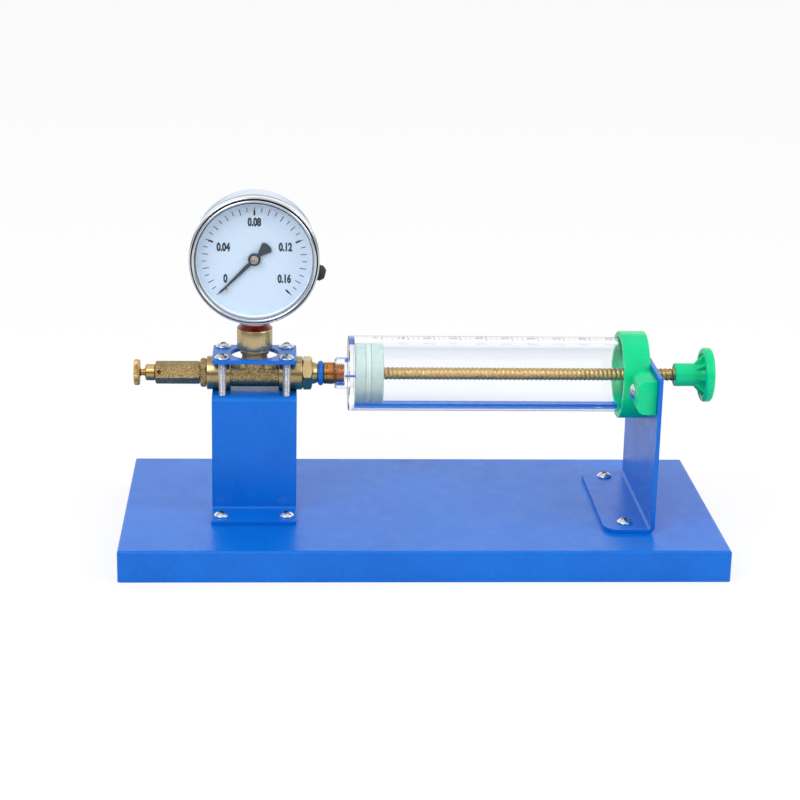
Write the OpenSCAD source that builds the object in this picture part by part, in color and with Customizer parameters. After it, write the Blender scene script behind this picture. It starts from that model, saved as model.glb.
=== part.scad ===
// Boyle's law apparatus: a clear syringe barrel with a screw-driven piston,
// joined to a brass tee that carries a pressure gauge and a bleed valve, on a
// folded steel base.
// Millimetres. +X runs from the bleed valve to the knob, +Z is up and the dial
// faces -Y. The origin is the centre of the base's underside.

/* [Base] */
// Length of the base pan, left to right
base_l = 300; // [285:5:340]
// Depth of the base pan, front to back
base_w = 140; // [120:5:180]
// Height of the base pan
base_h = 16; // [12:1:24]
// Sheet thickness of the base pan
base_t = 1.5; // [1:0.25:2.5]
// Outside radius of the pan's folded edges
base_r = 1.5; // [0.5:0.25:3]

/* [Layout] */
// Distance from the base's left edge to the gauge's centre line
gauge_inset = 65.5; // [60:0.5:75]
// Height of the barrel's axis over the base
axis_rise = 69.5; // [55:0.5:90]
// Height of the gauge's centre over the barrel's axis
gauge_rise = 62; // [60:0.5:80]

/* [Brackets] */
// Sheet thickness of the two brackets and the clamp plate
sheet_t = 2; // [1.5:0.25:3]
// Inside radius of the brackets' bends
bend_r = 1.5; // [1:0.25:3]
// Width of the gauge bracket
gauge_bracket_w = 42.5; // [40:0.5:60]
// Depth of the gauge bracket's foot, in front of its wall
gauge_foot_l = 19; // [15:0.5:30]
// Depth of the gauge bracket's top, from the front of its wall
gauge_seat_l = 30; // [28:0.5:45]
// Distance between the gauge bracket's foot screws
gauge_foot_pitch = 32.4; // [28:0.2:32.4]
// Distance from the gauge bracket's wall to its foot screws
gauge_foot_hole = 10.5; // [8:0.5:11.5]
// Width of the barrel bracket
barrel_bracket_w = 91; // [86:1:110]
// Length of the barrel bracket's foot, with the wall
barrel_foot_l = 25; // [20:0.5:35]
// Distance between the barrel bracket's foot screws
barrel_foot_pitch = 70; // [40:1:72]
// Distance from the end of the barrel bracket's foot to its screws
barrel_foot_hole = 11.5; // [8:0.5:12]
// Corner radius of the barrel bracket's foot
barrel_foot_r = 8; // [2:0.5:9]
// How far the barrel bracket stands above the barrel's axis
barrel_bracket_rise = 11; // [10:0.5:20]
// Small corner radius of the bent sheets
sheet_corner_r = 2; // [0.5:0.25:4]

/* [Clamp plate] */
// Length of the clamp plate along the tee
clamp_l = 42; // [40:0.5:44]
// Depth of the clamp plate
clamp_w = 29; // [28:0.5:30]
// Hole in the clamp plate round the tee's neck
clamp_hole_d = 24; // [22:0.5:25]
// Distance between the clamp screws along the tee
clamp_pitch_x = 32; // [31:0.25:33]
// Distance between the clamp screws across the tee
clamp_pitch_y = 21; // [21:0.25:21.5]

/* [Screws and nuts] */
// Diameter of the screws
screw_d = 4; // [3:0.5:4]
// Diameter of the screws' pan heads
head_d = 7.8; // [6:0.2:8]
// Height of the screws' pan heads
head_h = 2.4; // [2:0.1:3]
// Width across the flats of the nuts
nut_af = 7; // [6:0.25:7.5]
// Height of the nuts
nut_h = 3.2; // [2.4:0.1:4]
// How far a screw's end stands out of its nut or plate
screw_tail = 1.2; // [0.5:0.1:2]

/* [Tee] */
// Length of the tee along the barrel's axis
tee_l = 48; // [46:0.5:56]
// Diameter of the tee's two sockets
tee_d = 17; // [16:0.25:18]
// Length of each of the tee's sockets
tee_end_l = 12; // [11:0.25:13]
// Diameter of the tee between its sockets
tee_mid_d = 13.4; // [11:0.2:15]
// Diameter of the tee's neck below the gauge socket
tee_neck_d = 14.3; // [13:0.1:15.5]
// Height of the gauge socket's underside over the axis
cup_rise = 12.8; // [11:0.2:14]
// Diameter of the gauge socket
cup_d = 17.8; // [16.5:0.1:20]
// Height of the gauge socket
cup_h = 10.9; // [10:0.1:14]
// Bore of the air passages in the brass fittings
air_d = 3; // [2:0.25:4]
// Diameter of the pipe threads in the tee's two sockets
port_d = 9.7; // [8.5:0.1:11]
// Depth of the pipe threads in the tee's two sockets
port_l = 9; // [7:0.25:10]

/* [Bleed valve] */
// Width across the flats of the valve's lock nut
lock_af = 13.2; // [12.5:0.1:15]
// Thickness of the valve's lock nut
lock_t = 3.3; // [2.5:0.1:4]
// Width across the flats of the valve's body
valve_af = 10; // [9:0.1:11]
// Turn of the valve's body, from a flat that faces the front upwards
valve_tilt = 17; // [0:1:30]
// Length of the valve's body
valve_l = 22.6; // [18:0.2:24]
// Bore of the valve's chamber
chamber_d = 6; // [5:0.1:6.5]
// Depth of the valve's chamber
chamber_l = 8.4; // [8:0.1:9.5]
// Diameter of the vent hole
vent_d = 2; // [1.2:0.1:2]
// Distance from the body's end to the vent hole
vent_x = 2.2; // [2.1:0.1:2.4]
// Diameter of the gland at the body's end
gland_d = 8.3; // [7.5:0.1:9]
// Length of the gland
gland_l = 4.9; // [4:0.1:6]
// Diameter of the valve's spindle
spindle_d = 4; // [3:0.1:4.5]
// Diameter of the valve's knob
bleed_knob_d = 13; // [10:0.2:16]
// Thickness of the valve's knob
bleed_knob_t = 2.8; // [2:0.1:3.2]
// Space between the gland and the valve's knob
bleed_neck_l = 2.9; // [2:0.1:3.2]
// Thickness of the valve's rubber seat
seat_t = 2.4; // [2:0.1:3]

/* [Barrel connection] */
// Width across the flats of the connector
connector_af = 15; // [13.5:0.25:17]
// Length of the connector's hexagon
connector_hex_l = 5; // [4:0.25:7]
// Turn of the connector's hexagon, from a flat that faces the front
connector_turn = 30; // [0:5:30]
// Diameter of the connector's nose where it leaves the hexagon
nose_d = 11.2; // [10:0.1:12.5]
// Diameter of the connector's nose at its end
nose_end_d = 9.5; // [8.5:0.1:10]
// Length of the connector's nose
nose_l = 2.9; // [2:0.1:4]
// Diameter of the connector's spigot
spigot_d = 6; // [5:0.1:6.6]
// Diameter of the blue sealing ring
seal_ring_d = 12.6; // [11.5:0.1:14]
// Thickness of the blue sealing ring
seal_ring_t = 2.8; // [2:0.1:3]
// Diameter of the copper sleeve
sleeve_d = 11.1; // [10.6:0.1:12.5]
// Length of the copper sleeve outside the nipple
sleeve_l = 5.6; // [4:0.1:8]
// Diameter of the sleeve's thread
sleeve_thread_d = 10; // [9:0.1:10.4]
// Length of the sleeve's thread
sleeve_thread_l = 4.8; // [2.5:0.1:5]

/* [Barrel] */
// Bore of the barrel
bore_d = 31; // [29.5:0.25:32.5]
// Wall thickness of the barrel
barrel_wall = 3.5; // [2.5:0.1:4]
// Volume between two numbered marks, in millilitres
mark_ml = 10; // [8:1:11]
// Number of marked steps that the piston travels
marks = 9; // [7:1:9]
// Length of barrel left past the last mark
stroke_spare = 6.25; // [6:0.25:10]
// Thickness of the barrel's end plate
end_t = 3; // [2.5:0.1:5]
// Diameter of the nipple on the end plate
nipple_d = 16; // [14:0.2:20]
// Length of the nipple
nipple_l = 6.8; // [6:0.1:9]

/* [Piston and screw] */
// Length of the piston
piston_l = 14.2; // [13:0.1:18]
// Distance from the piston's front to its seal
seal_x = 5.2; // [4:0.1:5.5]
// Width of the piston's seal
seal_l = 3; // [2:0.1:3]
// Depth of the seal's groove
seal_groove = 1.8; // [1.2:0.1:2.2]
// Diameter of the screw
rod_d = 6.4; // [5.6:0.1:7]
// Diameter of the thrust collar on the screw's end
thrust_d = 10; // [9:0.2:12]
// Thickness of the thrust collar
thrust_t = 2.9; // [2:0.1:3.1]
// Diameter of the retainer that holds the thrust collar in the piston
retainer_d = 16; // [14:0.2:20]
// Thickness of the retainer
retainer_t = 2.5; // [2:0.1:2.8]

/* [Collar] */
// Outside diameter of the collar's ring
collar_d = 44.4; // [42.2:0.1:46]
// How deep the barrel sits in the collar
collar_grip = 5.4; // [4:0.1:8]
// Thickness of the collar behind the barrel
collar_floor = 7.9; // [7.2:0.1:11]
// Width of the collar over its two lugs
lug_span = 84; // [80:0.5:86]
// Height of the lugs
lug_h = 17.2; // [12:0.2:20]
// Length of the lugs along the barrel
lug_l = 9.6; // [9:0.1:11]
// Corner radius of the lugs
lug_r = 4; // [1:0.25:5]
// Distance between the two collar screws
collar_pitch = 60; // [54:0.5:64]
// Width across the flats of the feed nut
feed_af = 11; // [10:0.25:13]
// Length of the feed nut
feed_l = 5; // [4:0.1:5.2]

/* [Knob] */
// Diameter of the knob's hub
hub_d = 11.8; // [10:0.1:14]
// Length of the knob's hub, up to the disc
hub_l = 12.4; // [10:0.2:16]
// Space between the barrel bracket and the knob with the piston fully in
knob_space = 13.8; // [10:0.2:20]
// Diameter of the knob's disc
knob_d = 27.7; // [24:0.1:34]
// Thickness of the knob's disc
knob_t = 6.6; // [6:0.1:8]
// Depth of the knob's rim along the axis
knob_rim_l = 5; // [4:0.1:5.9]
// Thickness of the knob's rim, with round edges
knob_rim_w = 3.2; // [2.4:0.1:3.6]
// Number of ribs under the knob's disc
knob_ribs = 8; // [4:1:12]
// Thickness of the knob's ribs
knob_rib_t = 1.3; // [0.8:0.1:2]

/* [Gauge] */
// Outside diameter of the gauge's case
case_d = 61; // [60:0.25:70]
// Wall thickness of the gauge's case
case_t = 0.8; // [0.6:0.1:1.2]
// Distance from the stem's axis to the case's back
case_back = 10; // [9.5:0.25:14]
// Distance from the stem's axis to the case's front rim
case_front = 17; // [17:0.25:20]
// Radius of the case's back edge
case_r = 2; // [0.9:0.1:3]
// Outside diameter of the bezel
bezel_d = 64; // [63.4:0.1:72]
// Depth of the bezel
bezel_l = 9; // [6:0.25:11]
// Width of the bezel's front lip over the window
bezel_lip = 1.2; // [0.8:0.1:2]
// Thickness of the bezel's front lip
bezel_lip_t = 1; // [0.6:0.1:2]
// Thickness of the window
window_t = 2; // [1.5:0.1:3]
// Thickness of the dial
dial_t = 0.8; // [0.5:0.1:1.2]
// Width of the ring that holds the dial
dial_ring_w = 1.1; // [0.8:0.1:2]
// Diameter of the stem under the case
stem_d = 13.4; // [12:0.1:13.6]
// Diameter of the stem's thread in the gauge socket
stem_thread_d = 12.6; // [10:0.1:12.8]
// Length of the stem's thread
stem_thread_l = 8; // [6:0.1:9]
// Height of the red sealing washer
washer_h = 2.4; // [1.5:0.1:3]
// Diameter of the relief plug's head
plug_d = 7.8; // [6.5:0.1:9]
// How far the relief plug stands out of the case
plug_l = 5.6; // [4:0.1:7]
// Bore in the case for the relief plug
plug_bore_d = 5; // [4:0.1:5.4]
// Angle of the relief plug below the horizontal
plug_angle = 15; // [0:1:30]

/* [Pointer] */
// Length of the pointer's blade
pointer_l = 24.3; // [20:0.1:26]
// Length of the pointer's tail
pointer_tail_l = 10; // [8:0.1:12]
// Width of the pointer's tail at its end
pointer_tail_w = 6.4; // [4:0.1:8]
// Diameter of the pointer's hub
pointer_hub_d = 6.2; // [5.2:0.1:7]
// Diameter of the metal cap on the pointer
pointer_cap_d = 4.6; // [3:0.1:5]
// Direction of the zero mark, counted anticlockwise from 3 o'clock
zero_angle = 225; // [215:1:225]
// Turn of the pointer from zero to full scale
pointer_sweep = 270; // [240:5:270]

/* [Movement] */
// Module of the pinion and the sector gear
gear_m = 0.25; // [0.24:0.005:0.26]
// Teeth of the pinion
pinion_z = 12; // [12:1:12]
// Teeth that the sector gear would have as a full wheel
sector_z = 96; // [92:1:98]
// Teeth cut on the sector gear
sector_teeth = 13; // [13:1:13]
// Length of the sector gear's tail
tail_l = 5.5; // [5:0.1:5.8]
// Length of the link between its two eyes
link_l = 9; // [8.5:0.1:10]
// Middle radius of the Bourdon tube
tube_r = 19; // [18.5:0.1:20]
// Width of the Bourdon tube, front to back
tube_w = 8; // [6:0.1:8.4]
// Thickness of the Bourdon tube
tube_t = 3; // [2.4:0.1:3.4]

/* [Fits] */
// Radial clearance of a running fit
run_fit = 0.05; // [0.02:0.01:0.09]
// Radial clearance of a fixed piece in its seat
seat_fit = 0.05; // [0.02:0.01:0.1]
// Radial clearance of a screw in a plain hole
hole_fit = 0.2; // [0.1:0.05:0.3]
// Radial clearance of the piston in the barrel
piston_fit = 0.2; // [0.15:0.01:0.3]

/* [Hidden] */
$fn = 96;
eps = 0.01;

// Places along the barrel's axis, from the tee to the knob
axis_z = base_h + axis_rise;
gauge_x = -base_l / 2 + gauge_inset;
gauge_z = axis_z + gauge_rise;
tee_left = gauge_x - tee_l / 2;
tee_right = gauge_x + tee_l / 2;
nose_x = tee_right + connector_hex_l;
ring_x = nose_x + nose_l;
sleeve_x = ring_x + seal_ring_t;
nipple_x = sleeve_x + sleeve_l;
end_x = nipple_x + nipple_l;
tube_x = end_x + end_t;

// The barrel: a mark's step holds mark_ml in the bore
barrel_d = bore_d + 2 * barrel_wall;
mark_step = 4000 * mark_ml / (PI * bore_d * bore_d);
stroke = marks * mark_step;
piston_gap = 0.3;
piston_x = tube_x + piston_gap;
piston_rear = piston_x + piston_l;
tube_end = piston_rear + stroke + stroke_spare;
collar_x = tube_end - collar_grip;
plate_x = tube_end + collar_floor;
plate_back = plate_x + sheet_t;

// The piston's pocket and the screw in it
piston_d = bore_d - 2 * piston_fit;
seal_run_fit = 0.08;
pocket_l = thrust_t + retainer_t + 2 * run_fit;
thrust_x = piston_rear - retainer_t - run_fit - thrust_t;
hub_x = plate_back + knob_space;
hub_bore_l = 10;
rod_end = hub_x + hub_bore_l;
disc_x = hub_x + hub_l;

// The bleed valve, from the tee's left socket outwards
lock_x = tee_left - lock_t;
valve_x = lock_x - valve_l;
gland_x = valve_x - gland_l;
bleed_knob_x = gland_x - bleed_neck_l;
chamber_end = valve_x + chamber_l;
gland_spigot_l = 0.8;

// The barrel bracket's foot
foot_end_x = plate_back - barrel_foot_l;
barrel_foot_x = foot_end_x + barrel_foot_hole;

// The gauge bracket: its top carries the tee, its wall stands in front
seat_z = axis_z - tee_d / 2;
wall_y = -gauge_seat_l / 2;
foot_y = wall_y - gauge_foot_hole;

// Depths inside the gauge, forward of the stem's axis
cup_top = cup_rise + cup_h;
washer_top = cup_top + washer_h;
case_in_r = case_d / 2 - case_t;
bezel_front = case_front + window_t + bezel_lip_t;
dial_back = 11.8;
dial_front = dial_back + dial_t;
pointer_back = dial_front + 0.9;
pointer_t = 0.6;
hub_back = pointer_back - 0.4;
hub_front = pointer_back + pointer_t + 0.6;
cap_front = hub_front + 0.8;
front_plate = [9.6, 10.6];
spring_layer = [8.2, 8.8];
sector_layer = [6, 7.2];
pinion_layer = [5.6, 7.6];
link_layer = [4.9, 5.7];
ear_layer = [3.8, 4.6];
back_plate = [2.6, 3.5];
tube_mid = -2.5;
block_w = 12;
block_top = -15.5;
block_bottom = case_r + 0.3 - case_in_r;

// The movement: pinion on the dial's centre, sector pivot below it
pinion_r = gear_m * pinion_z / 2;
sector_r = gear_m * sector_z / 2;
pivot = [0, -pinion_r - sector_r];
sector_sweep = pointer_sweep * pinion_z / sector_z;
tail_angle = -34 - sector_sweep / 2;
tail_pin = pivot + tail_l * [cos(tail_angle), sin(tail_angle)];
link_angle = 56;
ear = tail_pin + link_l * [cos(link_angle), sin(link_angle)];
tube_tip_angle = -35;
tube_root_angle = 262;
pivot_d = 1;
shaft_d = 1.6;
pillar_d = 2.4;
pillars = [[-5.2, 4.2], [5.2, 4.2], [-5.2, -17.2]];
frame_w = 14;
frame_top = 6;
frame_bottom = -19;
foot_bottom = block_bottom + 3.1;
frame_screws = [[-4, foot_bottom + 2], [4, foot_bottom + 2]];
frame_screw_d = 2;
case_screw_d = 3;
case_screw_places = [[-3.2, block_bottom + 4.4], [3.2, block_bottom + 4.4]];
plug_z = 5;

// The stop pin stands 0.1 mm clear of the pointer's edge at zero
zero_pin_d = 1.4;
zero_pin_r = 21;
zero_pin_turn = asin((zero_pin_d / 2 + 0.1 + 0.42) / zero_pin_r);
zero_pin_place = zero_pin_r * [cos(zero_angle + zero_pin_turn), sin(zero_angle + zero_pin_turn)];

// The direction of the pinion from the sector's pivot
mesh_angle = 90;

// Teeth, in modules where they add to the pitch radius
pressure_angle = 20;
tooth_backlash = 0.03;
tooth_add = 0.7;
tooth_ded = 1;
flank_steps = 5;

// The hairspring's spiral
spring_turns = 4;
spring_steps = 24;
spring_in = 1.25;
spring_out = 4.6;
spring_t = 0.15;

// ---------- shared shapes ----------

// Carries a flat drawing in Y and Z along X, centred on x = 0
module along_x(l) {
  rotate([90, 0, 90]) translate([0, 0, -l / 2]) linear_extrude(l) children();
}

// Carries a flat drawing in X and Z along Y, centred on y = 0
module along_y(l) {
  rotate([90, 0, 0]) translate([0, 0, -l / 2]) linear_extrude(l) children();
}

// Turns [radius, x] points round the X axis
module turned_x(points) {
  rotate([0, 90, 0]) rotate_extrude() polygon(points);
}

module bar_x(d, x0, x1) {
  translate([x0, 0, 0]) rotate([0, 90, 0]) cylinder(d = d, h = x1 - x0);
}

// A bar with both edges chamfered by c
function chamfered(r, x0, x1, c) =
  [[0, x0], [r - c, x0], [r, x0 + c], [r, x1 - c], [r - c, x1], [0, x1]];

// A hexagon prism along Z with chamfered corners
module hex_prism(af, h) {
  corner = af / 2 / cos(30);
  rim = af * 0.48;
  drop = (corner - rim) * tan(30);
  intersection() {
    cylinder(r = corner, h = h, $fn = 6);
    rotate_extrude() polygon([[0, 0], [rim, 0], [corner, drop], [corner, h - drop], [rim, h], [0, h]]);
  }
}

// The same along X; turn = 0 sets a flat towards the front
module hex_x(af, x0, x1, turn = 0) {
  translate([x0, 0, 0]) rotate([0, 90, 0]) rotate(turn) hex_prism(af, x1 - x0);
}

module round_rect(l, w, r) {
  square([l - 2 * r, w], center = true);
  square([l, w - 2 * r], center = true);
  for (x = [-1, 1], y = [-1, 1]) translate([x * (l / 2 - r), y * (w / 2 - r)]) circle(r);
}

// A flat drawing with its base on y = 0 and its two top corners rounded
module arched_rect(l, h, r) {
  translate([-l / 2, 0]) square([l, h - r]);
  translate([-l / 2 + r, 0]) square([l - 2 * r, h]);
  for (x = [-1, 1]) translate([x * (l / 2 - r), h - r]) circle(r);
}

// A block on z = 0 with rounded upright and top edges
module folded_box(l, w, h, r) {
  intersection() {
    linear_extrude(h) round_rect(l, w, r);
    along_y(w) arched_rect(l, h, r);
    along_x(l) arched_rect(w, h, r);
  }
}

// A quarter of a bent sheet round the origin, in the first quadrant
module bend() {
  intersection() {
    difference() {
      circle(bend_r + sheet_t);
      circle(bend_r);
    }
    square(bend_r + sheet_t);
  }
}

// A pan-head screw that points down, its head seated on z = 0
module pan_screw(d, l, hd, hh) {
  rim = hh / 3;
  dome = hh - rim;
  dome_r = (hd * hd / 4 + dome * dome) / (2 * dome);
  intersection() {
    cylinder(d = hd, h = hh);
    translate([0, 0, hh - dome_r]) sphere(dome_r);
  }
  translate([0, 0, -l]) cylinder(d = d, h = l + eps);
}

module nut() {
  difference() {
    hex_prism(nut_af, nut_h);
    translate([0, 0, -1]) cylinder(d = screw_d + 2 * seat_fit, h = nut_h + 2);
  }
}

// Children at each foot screw, on the base's top face
module at_foot_screws() {
  for (s = [-1, 1]) {
    translate([gauge_x + s * gauge_foot_pitch / 2, foot_y, base_h]) children();
    translate([barrel_foot_x, s * barrel_foot_pitch / 2, base_h]) children();
  }
}

// Children at each clamp screw, at height z
module at_clamp_screws(z) {
  for (x = [-1, 1], y = [-1, 1])
    translate([gauge_x + x * clamp_pitch_x / 2, y * clamp_pitch_y / 2, z]) children();
}

// Children on the barrel's axis
module on_axis() {
  translate([0, 0, axis_z]) children();
}

// The gauge's own view: x to the right, y up, z forward out of the dial
module in_gauge() {
  translate([gauge_x, 0, gauge_z]) rotate([90, 0, 0]) children();
}

// A flat piece between two depths of the gauge
module slab(layer) {
  translate([0, 0, layer[0]]) linear_extrude(layer[1] - layer[0]) children();
}

// A round bar between two depths of the gauge, at a place in its view
module post(place, d, z0, z1) {
  translate([place[0], place[1], z0]) cylinder(d = d, h = z1 - z0);
}

// A flat strip with round ends between two places
module strip(a, b, w) {
  d = b - a;
  translate(a) circle(d = w);
  translate(b) circle(d = w);
  translate(a) rotate(atan2(d[1], d[0])) translate([0, -w / 2]) square([norm(d), w]);
}

// ---------- base and brackets ----------

module base_pan() {
  color([0.02, 0.38, 0.82]) difference() {
    folded_box(base_l, base_w, base_h, base_r);
    translate([0, 0, -eps])
      folded_box(base_l - 2 * base_t, base_w - 2 * base_t, base_h - base_t + eps,
        max(base_r - base_t, 0.1));
    at_foot_screws() translate([0, 0, -base_t - 1]) cylinder(d = screw_d + 2 * hole_fit, h = base_t + 2);
  }
}

module foot_screws() {
  grip = sheet_t + base_t + nut_h + screw_tail;
  color([0.8, 0.82, 0.85]) at_foot_screws() translate([0, 0, sheet_t]) pan_screw(screw_d, grip, head_d, head_h);
}

module foot_nuts() {
  color([0.75, 0.77, 0.8]) at_foot_screws() translate([0, 0, -base_t - nut_h]) nut();
}

// The side view of the gauge bracket: a foot in front, a wall, a top behind
module gauge_bracket_side() {
  foot_l = gauge_foot_l - bend_r;
  wall_bottom = base_h + sheet_t + bend_r;
  wall_top = seat_z - sheet_t - bend_r;
  translate([wall_y - gauge_foot_l, base_h]) square([foot_l, sheet_t]);
  translate([wall_y - bend_r, wall_bottom]) rotate(-90) bend();
  translate([wall_y, wall_bottom]) square([sheet_t, wall_top - wall_bottom]);
  translate([wall_y + sheet_t + bend_r, wall_top]) rotate(90) bend();
  translate([wall_y + sheet_t + bend_r, seat_z - sheet_t]) square([gauge_seat_l - sheet_t - bend_r, sheet_t]);
}

module gauge_bracket() {
  depth = gauge_foot_l + gauge_seat_l;
  color([0.02, 0.4, 0.85]) difference() {
    intersection() {
      translate([gauge_x, 0, 0]) along_x(gauge_bracket_w) gauge_bracket_side();
      translate([gauge_x, wall_y - gauge_foot_l + depth / 2, 0])
        linear_extrude(seat_z + 1) round_rect(gauge_bracket_w, depth, sheet_corner_r);
    }
    for (s = [-1, 1]) translate([gauge_x + s * gauge_foot_pitch / 2, foot_y, base_h - 1])
      cylinder(d = screw_d + 2 * hole_fit, h = sheet_t + 2);
    at_clamp_screws(seat_z - sheet_t - 1) cylinder(d = screw_d + 2 * seat_fit, h = sheet_t + 2);
  }
}

module clamp_plate() {
  color([0.02, 0.4, 0.85]) translate([gauge_x, 0, axis_z + tee_d / 2]) linear_extrude(sheet_t) difference() {
    round_rect(clamp_l, clamp_w, sheet_corner_r);
    circle(d = clamp_hole_d);
    for (x = [-1, 1], y = [-1, 1])
      translate([x * clamp_pitch_x / 2, y * clamp_pitch_y / 2]) circle(d = screw_d + 2 * hole_fit);
  }
}

module clamp_screws() {
  grip = tee_d + 2 * sheet_t + screw_tail;
  color([0.8, 0.82, 0.85]) at_clamp_screws(axis_z + tee_d / 2 + sheet_t) pan_screw(screw_d, grip, head_d, head_h);
}

// The side view of the barrel bracket: a foot to the left of its wall
module barrel_bracket_side() {
  wall_bottom = base_h + sheet_t + bend_r;
  translate([foot_end_x, base_h]) square([barrel_foot_l - sheet_t - bend_r, sheet_t]);
  translate([plate_x - bend_r, wall_bottom]) rotate(-90) bend();
  translate([plate_x, wall_bottom]) square([sheet_t, axis_z + barrel_bracket_rise - wall_bottom]);
}

module barrel_bracket() {
  top = axis_z + barrel_bracket_rise;
  color([0.02, 0.4, 0.85]) difference() {
    intersection() {
      along_y(barrel_bracket_w) barrel_bracket_side();
      // rounds the two corners at the end of the foot
      translate([foot_end_x + barrel_foot_l, 0, 0])
        linear_extrude(top + 1) round_rect(2 * barrel_foot_l, barrel_bracket_w, barrel_foot_r);
      // rounds the two top corners of the wall
      translate([plate_back - barrel_foot_l, 0, 0])
        along_x(2 * barrel_foot_l + 1) arched_rect(barrel_bracket_w, top, sheet_corner_r);
    }
    for (s = [-1, 1]) translate([barrel_foot_x, s * barrel_foot_pitch / 2, base_h - 1])
      cylinder(d = screw_d + 2 * hole_fit, h = sheet_t + 2);
    on_axis() bar_x(rod_d + 2, plate_x - 1, plate_back + 1);
    on_axis() for (s = [-1, 1]) translate([0, s * collar_pitch / 2, 0])
      bar_x(screw_d + 2 * seat_fit, plate_x - 1, plate_back + 1);
  }
}

// ---------- tee and bleed valve ----------

module tee_fitting() {
  shoulder = (tee_d - tee_mid_d) / 2;
  neck_bottom = cup_rise - 2.4;
  r = tee_d / 2;
  m = tee_mid_d / 2;
  c = 0.6;
  inner = tee_l / 2 - tee_end_l;
  color([0.72, 0.6, 0.36]) translate([gauge_x, 0, axis_z]) difference() {
    union() {
      turned_x([
        [0, -tee_l / 2], [r - c, -tee_l / 2], [r, -tee_l / 2 + c], [r, -inner], [m, shoulder - inner],
        [m, inner - shoulder], [r, inner], [r, tee_l / 2 - c], [r - c, tee_l / 2], [0, tee_l / 2]
      ]);
      cylinder(d = tee_neck_d - 1.8, h = neck_bottom + eps);
      translate([0, 0, neck_bottom]) cylinder(d = tee_neck_d, h = cup_rise - neck_bottom + eps);
      translate([0, 0, cup_rise]) rotate_extrude() polygon([
        [0, 0], [cup_d / 2 - 1, 0], [cup_d / 2, 1], [cup_d / 2, cup_h - 0.4], [cup_d / 2 - 0.4, cup_h], [0, cup_h]
      ]);
    }
    bar_x(air_d + 2, -tee_l / 2, tee_l / 2);
    for (s = [-1, 1]) translate([s * (tee_l / 2 - port_l / 2), 0, 0])
      bar_x(port_d + 2 * seat_fit, -port_l / 2 - eps, port_l / 2 + eps);
    cylinder(d = air_d + 2, h = cup_top);
    translate([0, 0, cup_top - stem_thread_l - 0.5])
      cylinder(d = stem_thread_d + 2 * seat_fit, h = stem_thread_l + 1);
  }
}

module valve_lock_nut() {
  color([0.66, 0.52, 0.3]) on_axis() difference() {
    hex_x(lock_af, lock_x, tee_left);
    bar_x(port_d + 2 * seat_fit, lock_x - 1, tee_left + 1);
  }
}

module valve_body() {
  color([0.7, 0.57, 0.34]) on_axis() difference() {
    union() {
      hex_x(valve_af, valve_x, lock_x, -valve_tilt);
      bar_x(port_d, lock_x - eps, tee_left + port_l - 0.5);
    }
    bar_x(air_d, valve_x, tee_left + port_l);
    bar_x(chamber_d, valve_x - 1, chamber_end);
    translate([valve_x + vent_x, 0, 0]) rotate([90 - valve_tilt, 0, 0]) cylinder(d = vent_d, h = valve_af);
  }
}

module valve_gland() {
  color([0.74, 0.6, 0.36]) on_axis() difference() {
    union() {
      turned_x(chamfered(gland_d / 2, gland_x, valve_x, 0.5));
      bar_x(chamber_d - 2 * seat_fit, valve_x - eps, valve_x + gland_spigot_l);
    }
    bar_x(spindle_d + 2 * run_fit, gland_x - 1, valve_x + gland_spigot_l + 1);
  }
}

module valve_seat() {
  color([0.12, 0.12, 0.12]) on_axis() bar_x(chamber_d - 0.5, chamber_end - seat_t - 0.05, chamber_end - 0.05);
}

module valve_spindle() {
  tip = chamber_end - seat_t - 0.1;
  waist = spindle_d / 2 - 0.4;
  r = bleed_knob_d / 2;
  c = 0.5;
  color([0.8, 0.63, 0.34]) on_axis() turned_x([
    [0, bleed_knob_x - bleed_knob_t], [r - c, bleed_knob_x - bleed_knob_t], [r, bleed_knob_x - bleed_knob_t + c],
    [r, bleed_knob_x - c], [r - c, bleed_knob_x], [spindle_d / 2 + 0.6, bleed_knob_x],
    [waist, bleed_knob_x + 0.8], [waist, gland_x - 0.9], [spindle_d / 2, gland_x - 0.4],
    [spindle_d / 2, tip], [0, tip]
  ]);
}

// ---------- from the tee to the barrel ----------

module outlet_connector() {
  color([0.7, 0.6, 0.38]) on_axis() difference() {
    union() {
      bar_x(port_d, tee_right - port_l + 0.5, tee_right + eps);
      hex_x(connector_af, tee_right, nose_x, connector_turn);
      turned_x([
        [0, nose_x - eps], [nose_d / 2, nose_x - eps], [nose_d / 2, nose_x + 0.8],
        [nose_end_d / 2, ring_x], [0, ring_x]
      ]);
      bar_x(spigot_d, ring_x - eps, nipple_x + sleeve_thread_l - 0.5);
    }
    bar_x(air_d, tee_right - port_l, nipple_x + sleeve_thread_l);
  }
}

module sealing_ring() {
  half = seal_ring_t / 2;
  color([0.1, 0.42, 0.8]) on_axis() translate([ring_x + half, 0, 0]) rotate([0, 90, 0]) rotate_extrude() {
    translate([spigot_d / 2 + seat_fit, -half])
      square([seal_ring_d / 2 - half - spigot_d / 2 - seat_fit, seal_ring_t]);
    translate([seal_ring_d / 2 - half, 0]) circle(half);
  }
}

module copper_sleeve() {
  color([0.72, 0.42, 0.2]) on_axis() difference() {
    union() {
      turned_x(chamfered(sleeve_d / 2, sleeve_x, nipple_x, 0.3));
      bar_x(sleeve_thread_d, nipple_x - eps, nipple_x + sleeve_thread_l);
    }
    bar_x(spigot_d + 2 * seat_fit, sleeve_x - 1, nipple_x + sleeve_thread_l + 1);
  }
}

// ---------- barrel, piston and screw ----------

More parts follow.
